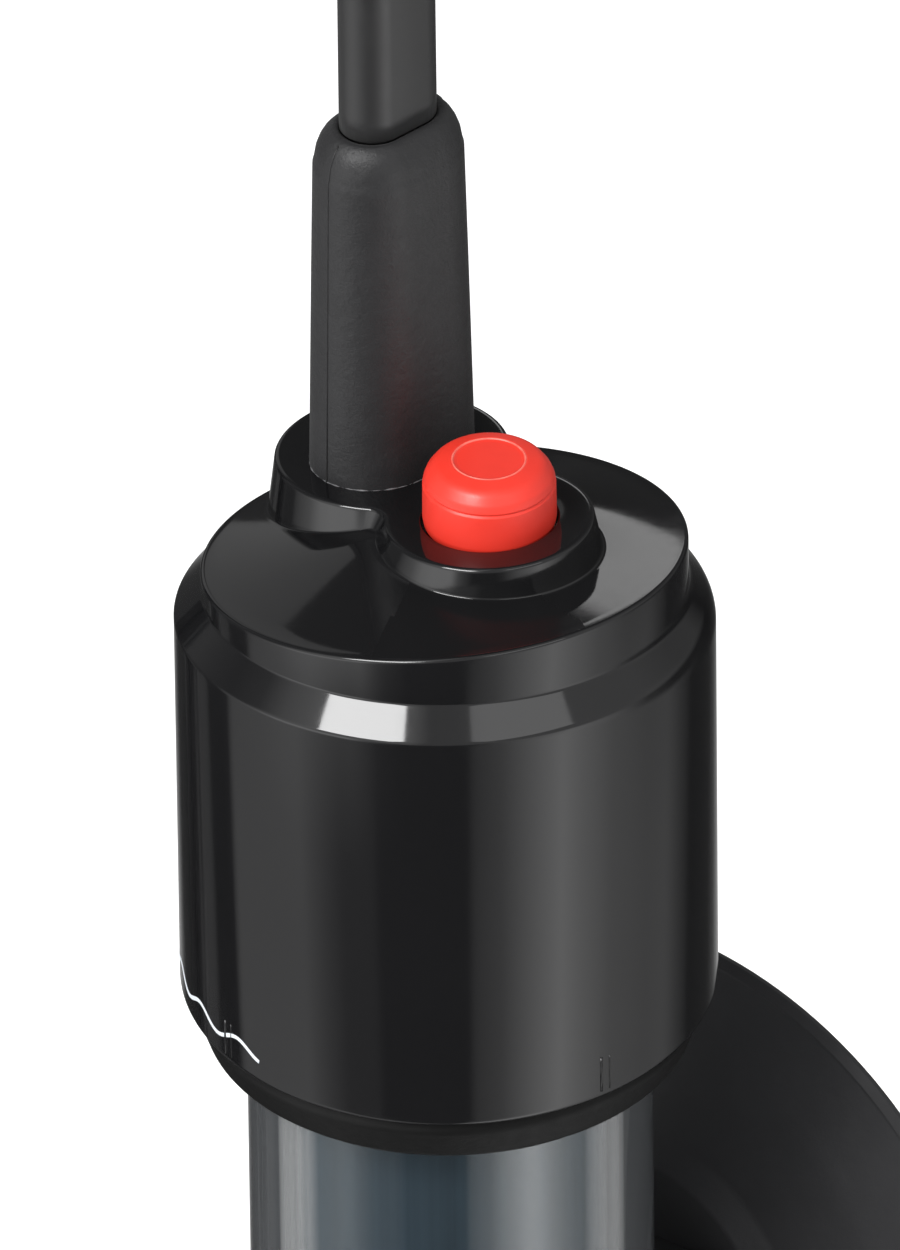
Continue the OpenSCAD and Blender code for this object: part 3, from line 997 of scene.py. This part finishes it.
        edge_ring = [polar(self.neck_r - self.rim_gap, a, self.middle_z) for a in angles]
        for w in edge_ring:
            w.z += self.rise(w, self.top_slope)
        foot, edge, draft = self.foot_r, self.edge_r, self.draft
        low = ring(draft + foot, 0, True)
        rings = [edge_ring] + [[p.lerp(q, t) for p, q in zip(edge_ring, low)]
                               for t in (0.12, 0.25, 0.4, 0.55, 0.7, 0.85, 0.95)]
        rings.append(low)
        rings += [ring(draft + foot * a, foot * b, True) for a, b in quarter(1, 4)]
        rings += [ring(-edge * b, -edge * a, False) for a, b in quarter(0, 5)]
        rings.append(ring(-self.pad_inset, 0, False))
        between = Vector(self.button_at) - Vector(self.boot_at)
        start = Vector(self.button_at) - between.normalized() * self.ray_start
        to = Vector(self.button_at) - start

        def well(r: float, lift: float | None) -> list[Vector]:
            """A ring of the well, along the same rays.

            Args:
                r: Its radius about the button's axis.
                lift: Its height above the platform, or None on the well's floor.

            Returns:
                The ring's points.
            """
            made = []
            for a in angles:
                ray = Vector((math.cos(a - self.turn), math.sin(a - self.turn)))
                t = to.dot(ray) + math.sqrt(max(r * r - to.length_squared + to.dot(ray) ** 2, 0))
                q = start + ray * t
                w = self.world(q.x, q.y, self.well_z)
                if lift is not None:
                    w.z = self.middle_z + self.platform_at(w) + lift
                made.append(w)
            return made

        rings += [well(self.well_r + foot * a, -foot * b) for a, b in quarter(0, 3)]
        rings.append(well(self.well_r, None))
        rings.append([self.world(*self.button_at, self.well_z)] * n)
        return rings

    def gasket(self) -> Piece:
        """The black lip between the head and the glass.

        Returns:
            The new object.
        """
        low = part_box("tube_gasket")[0].z / MM
        wall = (self.middle_z - self.drop) / MM
        profile = drawn(
            (13.65, 46), (13.65, low + 0.9), (13.9, low + 0.25, 0.3, 3), (15.55, low, 0.5, 5),
            (16.4, low + 0.7, 0.6, 6), (17.15, wall - 1.1, 0.7, 8), (16.7, wall - 0.06, 0.2, 3),
            (15.95, wall - 0.06), (15.95, 46))
        return lathe("gasket_lip", profile, 160, looped=True)

    def button(self) -> Piece:
        """The soft red cap, with its parting line and the raised ring on its top.

        Returns:
            The new object.
        """
        at = self.world(*self.button_at, 0)
        base = (self.middle_z + self.button_z) / MM
        r, ring = self.cap_r / MM, self.ring_r / MM
        profile = drawn(
            (0, base + 1.3), (3.6, base + 1.3), (3.6, base - 0.3), (r - 0.1, base - 0.3, 0.1, 2),
            (r, base + 0.3, 0.3, 3), (r - 0.03, base + 2.82, 0.06, 3), (r - 0.19, base + 2.96, 0.05, 3),
            (r - 0.07, base + 3.1, 0.1, 3), (r - 0.26, base + 3.6, 0.8, 4),
            (r - 0.82, base + 4.36, 1.1, 8), (r - 1.9, base + 4.64, 0.5, 4),
            (ring + 0.07, base + 4.62, 0.03, 2), (ring, base + 4.70, 0.04, 3),
            (ring - 0.07, base + 4.6, 0.03, 2), (ring - 0.3, base + 4.56, 0.2, 3), (0, base + 4.56))
        return lathe("red_button", profile, 128, Vector((at.x, at.y)))

    def boot(self) -> Piece:
        """The strain relief: a flattened oval with a rounded top and a slot for the cord.

        Returns:
            The new object.
        """
        rings = []
        for rise, inset in self.boot_levels:
            size = (self.boot_long + inset * MM, self.boot_short + inset * MM)
            if inset < self.slot_inset:
                size = self.slot_size
            z = self.seat_z + 0.5 * MM + rise * MM
            rings.append([self.world(self.boot_at[0] - y, self.boot_at[1] + x, z)
                          for x, y in stadium(*size, 72)])
        return skin("cord_boot", rings)

    def on_wall(self, a: float, drop: float, proud: float) -> Vector:
        """A point on the outer wall.

        Args:
            a: Its direction from the axis.
            drop: Its depth below the middle of the top.
            proud: How far it stands out.

        Returns:
            The point in the row frame.
        """
        return polar(self.wall_r + proud, a, self.middle_z - drop)

    def level_line(self) -> Piece:
        """The printed wavy line that marks the lowest water level.

        Returns:
            The new object.
        """
        (first, last), steps = self.level_span, 240
        path = []
        for k in range(steps + 1):
            a = first + (last - first) * k / steps
            wave = self.level_swing * math.cos(TURN * (a - self.level_crest) / self.level_period)
            path.append(self.on_wall(a, self.level_drop - wave, 0.004 * MM))
        return swept("level_line", path, [Vector((0, 0, 1))] * len(path), stadium(*self.level_size, 8))

    def wall_seams(self) -> list[Piece]:
        """The short upright seams that the mould's latches leave at the foot of the wall.

        Returns:
            The new objects.
        """
        made = []
        for k in range(4):
            for name, shift, thick in (("wide", 0.0, 0.16), ("fine", 2.1, 0.08)):
                a = self.seam_turn + math.pi / 2 * k + math.radians(shift)
                path = [self.on_wall(a, self.drop - h * MM, 0) for h in (0.7, 2.0, 3.4)]
                along = Vector((-math.sin(a), math.cos(a), 0))
                made.append(swept(f"wall_seam_{name}_{k + 1}", path, [along] * len(path),
                                  stadium(thick * 1.2 * MM, thick * MM, 8)))
        return made

    def boot_seams(self) -> list[Piece]:
        """The parting line down the two narrow ends of the strain relief.

        Returns:
            The new objects.
        """
        made = []
        across = self.world(1, 0, 0) - self.world(0, 0, 0)
        for name, side in (("left", -1), ("right", 1)):
            path = [self.world(self.boot_at[0],
                               self.boot_at[1] + side * (self.boot_long + inset * MM) / 2,
                               self.seat_z + (0.5 + rise) * MM)
                    for rise, inset in self.boot_levels if 0 < rise and inset > -3]
            made.append(swept(f"boot_seam_{name}", path, [across] * len(path),
                              stadium(0.18 * MM, 0.14 * MM, 8)))
        return made

    def highlight_bead(self) -> Piece:
        """An uneven pale bead round the foot of the strain relief, a painted highlight for the glints along
        that joint.

        Returns:
            The new object.
        """
        rings = []
        outline = stadium(self.boot_long - 0.02 * MM, self.boot_short - 0.02 * MM, 144)
        middle = self.world(*self.boot_at, self.seat_z)
        spokes = [(math.cos(TURN * j / 8), math.sin(TURN * j / 8)) for j in range(8)]
        for k, (x, y) in enumerate(outline):
            here = self.world(self.boot_at[0] - y, self.boot_at[1] + x, 0)
            here.z += self.platform_at(here) + 0.02 * MM
            out = Vector((here.x - middle.x, here.y - middle.y, 0)).normalized()
            r = (0.03 + 0.045 * math.sin(0.9 * k) * math.sin(0.37 * k + 1)) * MM
            rings.append([here + (out * c + Vector((0, 0, s))) * r for c, s in spokes])
        return skin("boot_highlight_bead", rings, looped=True)

    def wipe(self, shell: Piece) -> None:
        """Gives the top its duller patch, between the platform's front and the edge.

        Args:
            shell: The moulded shell.
        """
        for face in shell.data.polygons:
            at = face.center
            flat = Vector((at.x, at.y)) - AXIS
            turn = abs(math.atan2(flat.y, flat.x) - self.front)
            height = at.z - self.middle_z
            if (turn < self.wiped_half and self.wiped_from < flat.length < self.neck_r - self.wiped_in
                    and self.wiped_low < height < self.platform_at(at) - self.wiped_under
                    and face.normal.z > self.level_enough):
                face.material_index = 1

    def build(self) -> None:
        """Builds, dresses and installs the head's pieces."""
        shell = self.shell()
        dress(shell, Finishes.HEAD, Finishes.WIPED)
        self.wipe(shell)
        at = self.world(*self.button_at, 0)
        cap = replace(Finishes.CAP, axis=(at.x, at.y), ring=self.ring_r)
        install(shell, None, "heater", "head_plastic", "head_shell")
        install(self.gasket(), Finishes.SEAL, "heater", "seal_rubber", "tube_gasket")
        install(self.button(), cap, "button", "cap_red", "button_cap")
        install(self.boot(), Finishes.BOOT, "heater", "boot_rubber", "strain_relief")
        for seam in self.boot_seams():
            install(seam, Finishes.BOOT, "heater", "boot_rubber")
        install(self.level_line(), Finishes.PRINT, "heater", "head_plastic")
        for seam in self.wall_seams():
            install(seam, Finishes.HEAD, "heater", "head_plastic")
        # the pale bead is a painted highlight along the foot of the strain relief
        install(self.highlight_bead(), Finishes.HIGHLIGHT_BEAD, "heater", "head_plastic")


# ---- The cord ----
@dataclass
class Cord:
    """The flat cord, its hank and tie, and the plug."""

    head: Head
    width: float = 7.2 * MM
    thick: float = 4.5 * MM
    boot_top: float = 101.5 * MM
    run: float = 105.0 * MM
    fold_r: float = 21.0 * MM
    step: float = 6.0 * MM
    layer_step: float = 7.8 * MM
    loops: int = 2
    waist_in: float = 17.0 * MM
    waist_step: float = 0.15
    tail: float = 20.0 * MM
    # from the top of the strain relief: distance along X, then height, in millimetres
    lead_plan: tuple[Point2, ...] = ((0, 0), (0, 13), (0, 26), (-2, 37), (-9, 47), (-19, 54), (-30, 56),
                                     (-41, 54), (-51, 47), (-58, 37), (-60, 26), (-60, 13), (-60, 0),
                                     (-60, -14))
    run_steps: int = 6
    fold_steps: int = 7
    climb_steps: float = 3.6
    fine: int = 4
    pin_r: float = 2.0 * MM

    @property
    def exit_at(self) -> Vector:
        """Where the cord leaves the strain relief."""
        at = self.head.world(*self.head.boot_at, 0)
        return Vector((at.x, at.y, self.boot_top))

    @property
    def loop_steps(self) -> int:
        """Steps in one loop of the hank."""
        return 2 * (self.run_steps + self.fold_steps)

    @property
    def out_r(self) -> float:
        """Radius of the outermost fold."""
        return self.fold_r + self.step * self.loops

    def hank_point(self, i: float, middle: Vector) -> Vector:
        """A point of the hank's centreline.

        Args:
            i: The step along the hank, which may lie between whole steps.
            middle: The hank's middle.

        Returns:
            The point in the row frame.
        """
        q, runs, folds = i / self.loop_steps, self.run_steps, self.fold_steps
        r = self.fold_r + self.step * abs(self.loops - q)
        pulled = r - self.waist_in + self.waist_step * (r - self.fold_r)
        # the second half of a loop is the first one turned over
        j = i % (runs + folds)
        side = 1 if i % self.loop_steps < runs + folds else -1
        if j < runs:
            x = r + (pulled - r) * (0.5 - 0.5 * math.cos(TURN * j / runs))
            z = self.run / 2 - self.run * j / runs
        else:
            a = -math.pi * (j - runs) / folds
            x, z = r * math.cos(a), r * math.sin(a) - self.run / 2
        s = max(0.0, min(1.0, (q - self.loops) * self.loop_steps / self.climb_steps))
        return middle + Vector((side * x, -self.layer_step * s * s * (3 - 2 * s), side * z))

    def route(self) -> tuple[list[Vector], list[Vector]]:
        """The cord's centreline, and the direction of its wide side along it.

        Returns:
            The points of the centreline, and the direction at each of them.
        """
        lead = catmull([self.exit_at + Vector((x * MM, 0, z * MM)) for x, z in self.lead_plan], 6)
        middle = lead[-1] - Vector((self.out_r, 0, self.run / 2))
        steps = 2 * self.loops * self.loop_steps + self.run_steps
        hank = [self.hank_point(i / self.fine, middle) for i in range(1, steps * self.fine + 1)]
        hank[-1] = self.hank_point(steps - 1e-6, middle)
        end = hank[-1]
        tail = [end - Vector((0, 0, self.tail * t)) for t in (0.25, 0.5, 0.75, 1.0)]
        lead_wide = []
        for i in range(len(lead)):
            a = math.pi / 2 + self.head.turn * (1 - i / (len(lead) - 1))
            lead_wide.append(Vector((math.cos(a), math.sin(a), 0)))
        path = lead + hank + tail
        return path, lead_wide + [Vector((0, 1, 0))] * (len(path) - len(lead))

    def smooth(self, path: list[Vector]) -> list[Vector]:
        """Eases the corners where the runs meet the folds, keeping both ends.

        Args:
            path: The centreline's points.

        Returns:
            As many points, eased.
        """
        for _ in range(2):
            path = [path[0]] + [(path[i - 1] + 2 * path[i] + path[i + 1]) / 4
                                for i in range(1, len(path) - 1)] + [path[-1]]
        return path

    def tie(self) -> Piece:
        """The strap round the hank's waist.

        Returns:
            The new object.
        """
        low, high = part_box("cord_tie")
        centre, half = (low + high) / 2, (high - low) / 2
        corner_r, thick = 3.0 * MM, 1.15 * MM
        rings = []
        for z, inset in ((-1, 0.3), (-0.93, 0.08), (-0.8, 0.0), (0.8, 0.0), (0.93, 0.08), (1, 0.3)):
            rings.append(self.round_box(centre, half.x - inset * MM, half.y - inset * MM,
                                        corner_r, centre.z + z * half.z))
        for z, inset in ((1, 0.9), (0.8, 1.0), (-0.8, 1.0), (-1, 0.9)):
            rings.append(self.round_box(centre, half.x - inset * thick, half.y - inset * thick,
                                        corner_r - thick, centre.z + z * half.z))
        return skin("hank_strap", rings, looped=True)

    @staticmethod
    def round_box(centre: Vector, hx: float, hy: float, r: float, z: float) -> list[Vector]:
        """A ring with the outline of a box with round corners.

        Args:
            centre: The box's middle.
            hx: Its half size along X.
            hy: Its half size along Y.
            r: The radius of its corners.
            z: The ring's height.

        Returns:
            The ring's points.
        """
        ring = []
        for k in range(48):
            a = TURN * (k + 0.5) / 48
            cx = (hx - r) * (1 if math.cos(a) > 0 else -1)
            cy = (hy - r) * (1 if math.sin(a) > 0 else -1)
            ring.append(Vector((centre.x + cx + r * math.cos(a), centre.y + cy + r * math.sin(a), z)))
        return ring

    def plug(self) -> list[Piece]:
        """The flat two-pin plug: body, grip ribs and pins.

        Returns:
            The body, then everything that is fixed to it.
        """
        low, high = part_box("plug_body")
        mid = (low + high) / 2
        levels = [(0.0, 8.0, 5.4), (0.3, 9.0, 6.4), (1.2, 9.6, 7.0), (3.0, 9.4, 6.8), (4.2, 10.4, 7.2),
                  (6.0, 10.2, 7.0), (7.2, 11.4, 7.6), (9.0, 11.4, 7.6), (10.4, 12.8, 8.2),
                  (12.5, 14.8, 8.9), (15.5, 18.2, 10.0), (19.0, 22.4, 11.6), (22.0, 24.6, 12.7),
                  (24.0, 25.0, 13.0), (34.4, 25.0, 13.0), (35.4, 24.7, 12.7), (35.9, 23.9, 11.9),
                  (36.0, 23.0, 11.0)]
        rings = []
        for drop, wide, thick in levels:
            rings.append([Vector((mid.x - y, mid.y + x, high.z - drop * MM))
                          for x, y in stadium(wide * MM, thick * MM, 64)])
        body = skin("plug_moulding", rings)
        ribs = [row_of_bars(f"plug_ribs_{name}", Finishes.CORD, 5, Vector((0.45, 5.2, 0.5)) * MM,
                            Vector((mid.x + side * 6.45 * MM, mid.y, high.z - 24.5 * MM)),
                            Vector((0, 0, -2.0 * MM)))
                for name, side in (("front", 1), ("back", -1))]
        return [body, *ribs, *self.pins()]

    def pins(self) -> list[Piece]:
        """The plug's two pins, each with a black sleeve next to the body.

        Returns:
            The new objects.
        """
        low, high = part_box("plug_pins")
        x, foot, top = (low.x + high.x) / 2, low.z / MM, high.z / MM
        metal = drawn((0, foot), (1.2, foot, 0.3, 3), (2.0, foot + 0.9, 0.8, 4),
                      (2.0, foot + 9.0, 0.05, 2), (1.85, foot + 9.1), (1.85, top), (0, top))
        sleeve = drawn((1.9, foot + 9.15), (1.98, foot + 9.3, 0.1, 2), (1.98, top), (1.9, top))
        made = []
        for name, y in (("left", low.y + self.pin_r), ("right", high.y - self.pin_r)):
            pin = lathe(f"plug_pin_{name}", metal, 40, Vector((x, y)))
            dress(pin, Finishes.NICKEL)
            cover = lathe(f"pin_sleeve_{name}", sleeve, 40, Vector((x, y)), looped=True)
            dress(cover, Finishes.CORD)
            made += [pin, cover]
        return made

    def build(self) -> None:
        """Builds, dresses and installs the cord and what is on it."""
        path, wide = self.route()
        path = self.smooth(path)
        cord = swept("flat_cord", path, wide, stadium(self.width, self.thick, 32))
        install(cord, Finishes.CORD, "heater", "cord_rubber", "power_cord", "cord_hank")
        strap = install(self.tie(), Finishes.CLIP, "heater", "clip_plastic", "cord_tie")
        body, *rest = self.plug()
        install(body, Finishes.CORD, "heater", "cord_rubber", "plug_body")
        for piece in rest:
            slot = "pin_brass" if "plug_pin" in piece.name else "cord_rubber"
            nodes = ["plug_pins"] if piece.name == "plug_pin_left" else []
            install(piece, None, "heater", slot, *nodes)
        tuple(self.exit_at)


# ---- The tube and what it holds ----
@dataclass
class Tube:
    """The glass tube, the heating element inside and the button's return spring."""

    glass_r: float = 13.6 * MM
    glass_t: float = 1.3 * MM
    top: float = 56 * MM
    former_r: float = 8 * MM
    wire_r: float = 0.9 * MM
    wire_turns: int = 14
    wire_gap: float = 0.15 * MM               # between the former and its wire
    spring_r: float = 3.2 * MM
    spring_wire: float = 0.24 * MM
    spring_turns: int = 3
    spring_in: float = 0.25 * MM              # from the spring's ends to the middle of its wire
    press: float = 1.8 * MM                   # how far the button goes down

    def glass(self) -> Piece:
        """The tube, closed and rounded at its lower end.

        Returns:
            The new object.
        """
        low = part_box("glass_tube")[0].z
        mid = low + self.glass_r
        inner = self.glass_r - self.glass_t
        turns = [math.pi / 2 * j / 24 for j in range(25)]
        outside, inside = ([(r * math.sin(a), mid - r * math.cos(a)) for a in turns]
                           for r in (self.glass_r, inner))
        # the rings just below the rim keep the long walls' shading straight
        rim = [(self.glass_r, self.top - 1.0 * MM), (self.glass_r, self.top - 0.3 * MM),
               (self.glass_r - 0.3 * MM, self.top), (inner + 0.3 * MM, self.top),
               (inner, self.top - 0.3 * MM), (inner, self.top - 1.0 * MM)]
        return lathe("heavy_glass_tube", outside + rim + inside[::-1], 128)

    def former(self) -> Piece:
        """The ceramic former that the heating wire is wound on.

        Returns:
            The new object.
        """
        low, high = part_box("ceramic_former")
        bore, chamfer = 1.5 * MM, (0.6 * MM, 4)
        profile = rounded((bore, high.z), (bore, low.z), (self.former_r, low.z, *chamfer),
                          (self.former_r, high.z, *chamfer), (bore, high.z))
        return lathe("fired_former", profile[:-1], 64, looped=True)

    def build(self) -> None:
        """Builds, dresses and installs the tube's pieces."""
        install(self.glass(), Finishes.GLASS, "heater", "glass", "glass_tube")
        install(self.former(), Finishes.CERAMIC, "heater", "ceramic", "ceramic_former")
        low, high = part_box("heating_wire")
        wire = wound_wire("wound_heating_wire", Finishes.STEEL, self.former_r + self.wire_r + self.wire_gap,
                          self.wire_r * 0.97, self.wire_turns, low.z + self.wire_r,
                          high.z - self.wire_r, AXIS)
        install(wire, None, "heater", "bright_steel", "heating_wire")
        low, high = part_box("button_spring")
        mid = (low + high) / 2
        spring = wound_wire("return_spring", Finishes.STEEL, self.spring_r, self.spring_wire,
                            self.spring_turns, low.z + self.spring_in, high.z - self.spring_in,
                            Vector((mid.x, mid.y)), 32, 8)
        install(spring, None, "heater", "bright_steel", "button_spring")
        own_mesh(spring)


# ---- The suction cups ----
@dataclass
class SuctionCup:
    """One suction cup, with the stem that its clip turns on."""

    name: str
    body: str
    z: float
    cup_r: float = 25.4 * MM

    def cup(self) -> Piece:
        """The rubber cup, drawn as radius against distance from the tank wall.

        Returns:
            The new object.
        """
        rim = self.cup_r / MM
        profile = drawn(
            (0, 3.8), (7, 3.4, 6, 4), (14, 2.3, 8, 4), (rim - 4, 0.7, 3, 4), (rim - 1.9, 0.05, 0.4, 3),
            (rim - 0.08, 0.0, 0.06, 3), (rim, 0.42, 0.12, 4), (rim - 0.55, 0.88, 0.12, 4),
            (rim - 0.75, 0.9, 0.2, 3), (19, 3.1, 14, 5), (12.2, 4.7, 1.6, 6), (10.3, 5.95, 0.9, 7),
            (6.4, 6.2, 0.6, 3), (4.1, 6.35, 0.3, 3), (4.1, 8.85, 0.2, 3), (5.8, 8.85, 0.3, 3),
            (5.75, 10.0, 0.6, 4), (4.9, 10.75, 0.6, 4), (0, 10.8))
        sides = 144
        rings = [[Vector((max(q, 1e-9) * math.cos(TURN * k / sides), -d,
                          self.z + max(q, 1e-9) * math.sin(TURN * k / sides)))
                  for k in range(sides)] for q, d in profile]
        return skin(self.name + "_suction_cup", rings)

    def build(self) -> None:
        """Builds, dresses and installs the cup."""
        install(self.cup(), Finishes.CUP, self.body, "cup_rubber", self.name + "_cup")


# ---- The nodes that keep their CAD shape ----
KEPT_NODES: dict[str, Finish] = {
    "button_stem": Finishes.NYLON, "stem_clip": Finishes.STEEL, "button_bush": Finishes.NYLON,
    "button_seal": Finishes.SEAL, "push_switch": Finishes.SWITCH, "head_plug": Finishes.SEAL,
    "plug_o_ring": Finishes.SEAL, "inner_sleeve": Finishes.SLEEVE, "thermostat_frame": Finishes.BOARD,
    "bimetal_strip": Finishes.BRASS, "moving_contact": Finishes.STEEL, "fixed_contact": Finishes.BRASS,
    "calibration_screw": Finishes.STEEL, "indicator_lamp": Finishes.LAMP,
    "heat_shield": Finishes.CERAMIC, "lead_wires": Finishes.WIRE, "end_spacer": Finishes.CERAMIC,
    "upper_clip": Finishes.CLIP, "lower_clip": Finishes.CLIP,
}


def dress_kept_nodes() -> None:
    """Gives every CAD node that is shown its finish."""
    for name, finish in KEPT_NODES.items():
        dress(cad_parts[name], finish)
        LOG.info("%s keeps its CAD shape", name)


# ---- The studio ----
@dataclass
class Studio:
    """Floor, lights and camera."""

    azimuth: float = math.radians(36.87)
    elevation: float = math.radians(34.5)
    distance: float = 2.0
    pixels_per_mm: float = 15.1
    long_side_px: float = 1250
    sensor: float = 36.0
    roll: float = math.radians(-0.67)
    aim: tuple[float, float] = (0.33 * MM, -4.9 * MM)
    middle: Vector = field(default_factory=lambda: Vector((AXIS.x, AXIS.y, 72 * MM)))
    ambient: float = 0.55
    floor_half: float = 6.0
    floor_z: float = -0.175
    # each light's name, degrees right of the camera and up, distance, width and height, and radiance
    lights: tuple[tuple, ...] = (
        ("key", -42.5, 43, 0.9, (0.47, 0.32), 17), ("fill", 38, 42, 1.1, (0.7, 0.35), 1.6),
        ("back", 178, 21, 1.3, (0.15, 0.14), 1.8), ("side", -158, 17, 1.3, (0.55, 0.65), 0.32))
    # cards round the object: degrees right of the camera, brightness where white is 1
    floor_cards: tuple[Point2, ...] = (
        (-180, 0.6), (-171, 0.3), (-160, 0.05), (-147, 0.03), (-144, 0.14), (-123, 0.15),
        (-120, 0.03), (-107, 0.03), (-103, 0.45), (-66, 0.76), (-55, 0.42), (-46, 0.2), (-33, 0.2),
        (-29, 0.07), (8, 0.07), (12, 0.4), (23, 0.65), (40, 1.6), (50, 2.1), (60, 1.5), (75, 0.85),
        (95, 0.53), (108, 0.45), (118, 0.2), (128, 0.04), (150, 0.04), (160, 0.1), (171, 0.3),
        (180, 0.6))
    side_cards: tuple[Point2, ...] = (
        (-180, 0.05), (-125, 0.1), (-105, 0.13), (-97, 0.5), (-84, 1.0), (-72, 2.0), (-60, 2.4),
        (-40, 2.5), (-33, 1.0), (-28, 0.6), (-18, 0.1), (5, 0.1), (12, 0.25), (30, 1.2), (51, 2.1),
        (70, 1.2), (90, 0.3), (106, 0.1), (140, 0.03), (180, 0.1))
    high_cards: tuple[Point2, ...] = (
        (-180, 0.06), (-150, 0.1), (-125, 0.25), (-104, 0.14), (-90, 0.3), (-78, 1.0), (-62, 1.5),
        (-18, 1.3), (-9, 0.57), (5, 0.6), (20, 0.8), (57, 0.8), (94, 0.7), (115, 0.4), (150, 0.15),
        (175, 0.08), (180, 0.06))
    brightest: float = 2.5
    side_starts: Point2 = (-0.58, -0.28)      # the heights where the middle band begins and is full
    high_starts: Point2 = (-0.08, 0.08)

    def directions(self) -> tuple[Vector, Vector, Vector]:
        """The camera's right, up and backward directions.

        Returns:
            Three unit vectors.
        """
        right = Vector((math.cos(self.azimuth), math.sin(self.azimuth), 0))
        ahead = Vector((-math.sin(self.azimuth), math.cos(self.azimuth), 0))
        back = -ahead * math.cos(self.elevation) + Vector((0, 0, math.sin(self.elevation)))
        up = back.cross(right)
        return right, up, back

    def camera(self) -> None:
        """Makes the camera."""
        right, up, back = self.directions()
        data = bpy.data.cameras.new("camera")
        data.sensor_width = self.sensor
        data.lens = self.sensor * self.pixels_per_mm * self.distance / MM / self.long_side_px
        data.clip_end = 100
        made = placed("camera", data)
        target = self.middle + right * self.aim[0] + up * self.aim[1]
        made.location = target + back * self.distance
        turn = Matrix((right, up, back)).transposed().to_quaternion()
        made.rotation_mode = "QUATERNION"
        made.rotation_quaternion = turn @ Quaternion((0, 0, 1), self.roll)
        bpy.context.scene.camera = made

    def softbox(self, name: str, turn: float, height: float, distance: float,
                size: tuple[float, float], radiance: float) -> None:
        """Adds an area light that faces the head.

        Args:
            name: The light's name.
            turn: Its direction in degrees, to the right of the camera's.
            height: Its height in degrees above the head.
            distance: Its distance in metres.
            size: Its width and height in metres.
            radiance: How bright it looks, where the white background is 1.
        """
        right, _, back = self.directions()
        level = Vector((back.x, back.y, 0)).normalized()
        t, h = math.radians(turn), math.radians(height)
        way = (level * math.cos(t) + right * math.sin(t)) * math.cos(h) + Vector((0, 0, math.sin(h)))
        data = bpy.data.lights.new(name, "AREA")
        data.shape = "RECTANGLE"
        data.size, data.size_y = size
        data.energy = radiance * math.pi * size[0] * size[1]
        made = placed(name, data)
        made.location = self.middle + way * distance
        made.rotation_mode = "QUATERNION"
        made.rotation_quaternion = way.to_track_quat("Z", "Y")

    def surroundings(self) -> None:
        """The room: white behind the object, with grey cards and dark gaps in the reflections."""
        world = bpy.data.worlds.new("studio")
        world.use_nodes = True
        world.node_tree.nodes.clear()
        room = Tree(world.node_tree)
        # turned so that +X points at the camera and +Y to its right
        turned = room.add("ShaderNodeMapping", {
            "Vector": room.add("ShaderNodeTexCoord").outputs["Generated"],
            "Rotation": (0, 0, math.pi / 2 - self.azimuth)}, vector_type="VECTOR")
        way = room.add("ShaderNodeSeparateXYZ", {"Vector": turned.outputs["Vector"]}).outputs
        span = room.spread(room.maths("ARCTAN2", way["Y"], way["X"]), 0.0, 1.0, -math.pi, math.pi)
        floor, side, high = (self.card(room, span, stops)
                             for stops in (self.floor_cards, self.side_cards, self.high_cards))
        blended = room.mix(room.spread(way["Z"], 0.0, 1.0, *self.side_starts), floor, side)
        blended = room.mix(room.spread(way["Z"], 0.0, 1.0, *self.high_starts), blended, high)
        bright = room.add("ShaderNodeVectorMath", {0: blended, "Scale": self.brightest},
                          operation="SCALE")
        ray = room.add("ShaderNodeLightPath").outputs
        seen = room.mix(ray["Is Camera Ray"], bright.outputs["Vector"], (1, 1, 1, 1))
        even = room.mix(ray["Is Diffuse Ray"], seen, (*[self.ambient] * 3, 1))
        glow = room.add("ShaderNodeBackground", {"Color": even})
        room.add("ShaderNodeOutputWorld", {"Surface": glow.outputs["Background"]})
        bpy.context.scene.world = world

    def card(self, room: Tree, span: Socket, stops: tuple[Point2, ...]) -> Socket:
        """One band of cards round the object.

        Args:
            room: The world's tree.
            span: The direction, from 0 to 1 once round.
            stops: The cards.

        Returns:
            The band's brightness, where 1 is the brightest card.
        """
        ramp = room.add("ShaderNodeValToRGB", {"Fac": span})
        elements = ramp.color_ramp.elements
        for degrees, level in stops:
            spot = (degrees + 180) / 360
            if 0 < spot < 1:
                element = elements.new(spot)
            else:
                element = elements[0 if spot <= 0 else -1]
                element.position = spot
            element.color = (*[level / self.brightest] * 3, 1)
        return ramp.outputs["Color"]

    def floor(self) -> None:
        """The pale floor, which the gloss of the head doesn't pick up."""
        half = self.floor_half
        corners = [Vector((x * half, y * half, self.floor_z))
                   for x, y in ((-1, -1), (1, -1), (1, 1), (-1, 1))]
        floor = mesh_object("floor", corners, [(0, 1, 2, 3)], smooth=False)
        shader = Shader("pale_floor")
        shader.between(shader.noise(3, 2), (0.93, 0.93, 0.93), (0.95, 0.95, 0.95))
        shader.set(Roughness=0.9, Emission_Color=(1, 1, 1, 1), Emission_Strength=0.45)
        floor.data.materials.append(shader.material)
        floor.visible_glossy = False

    def build(self) -> None:
        """Makes the floor, the surroundings, the lights and the camera."""
        self.camera()
        self.floor()
        self.surroundings()
        bpy.context.scene.view_settings.view_transform = "Standard"
        for light in self.lights:
            self.softbox(*light)


def main() -> None:
    """Builds the heater piece by piece."""
    Studio().build()
    head = Head()
    Cord(head).build()
    head.build()
    Tube().build()
    SuctionCup("upper", "anchor", 0.0).build()
    SuctionCup("lower", "lower_anchor", LOWER_CUP_Z).build()
    dress_kept_nodes()


if __name__ == "__main__":
    main()
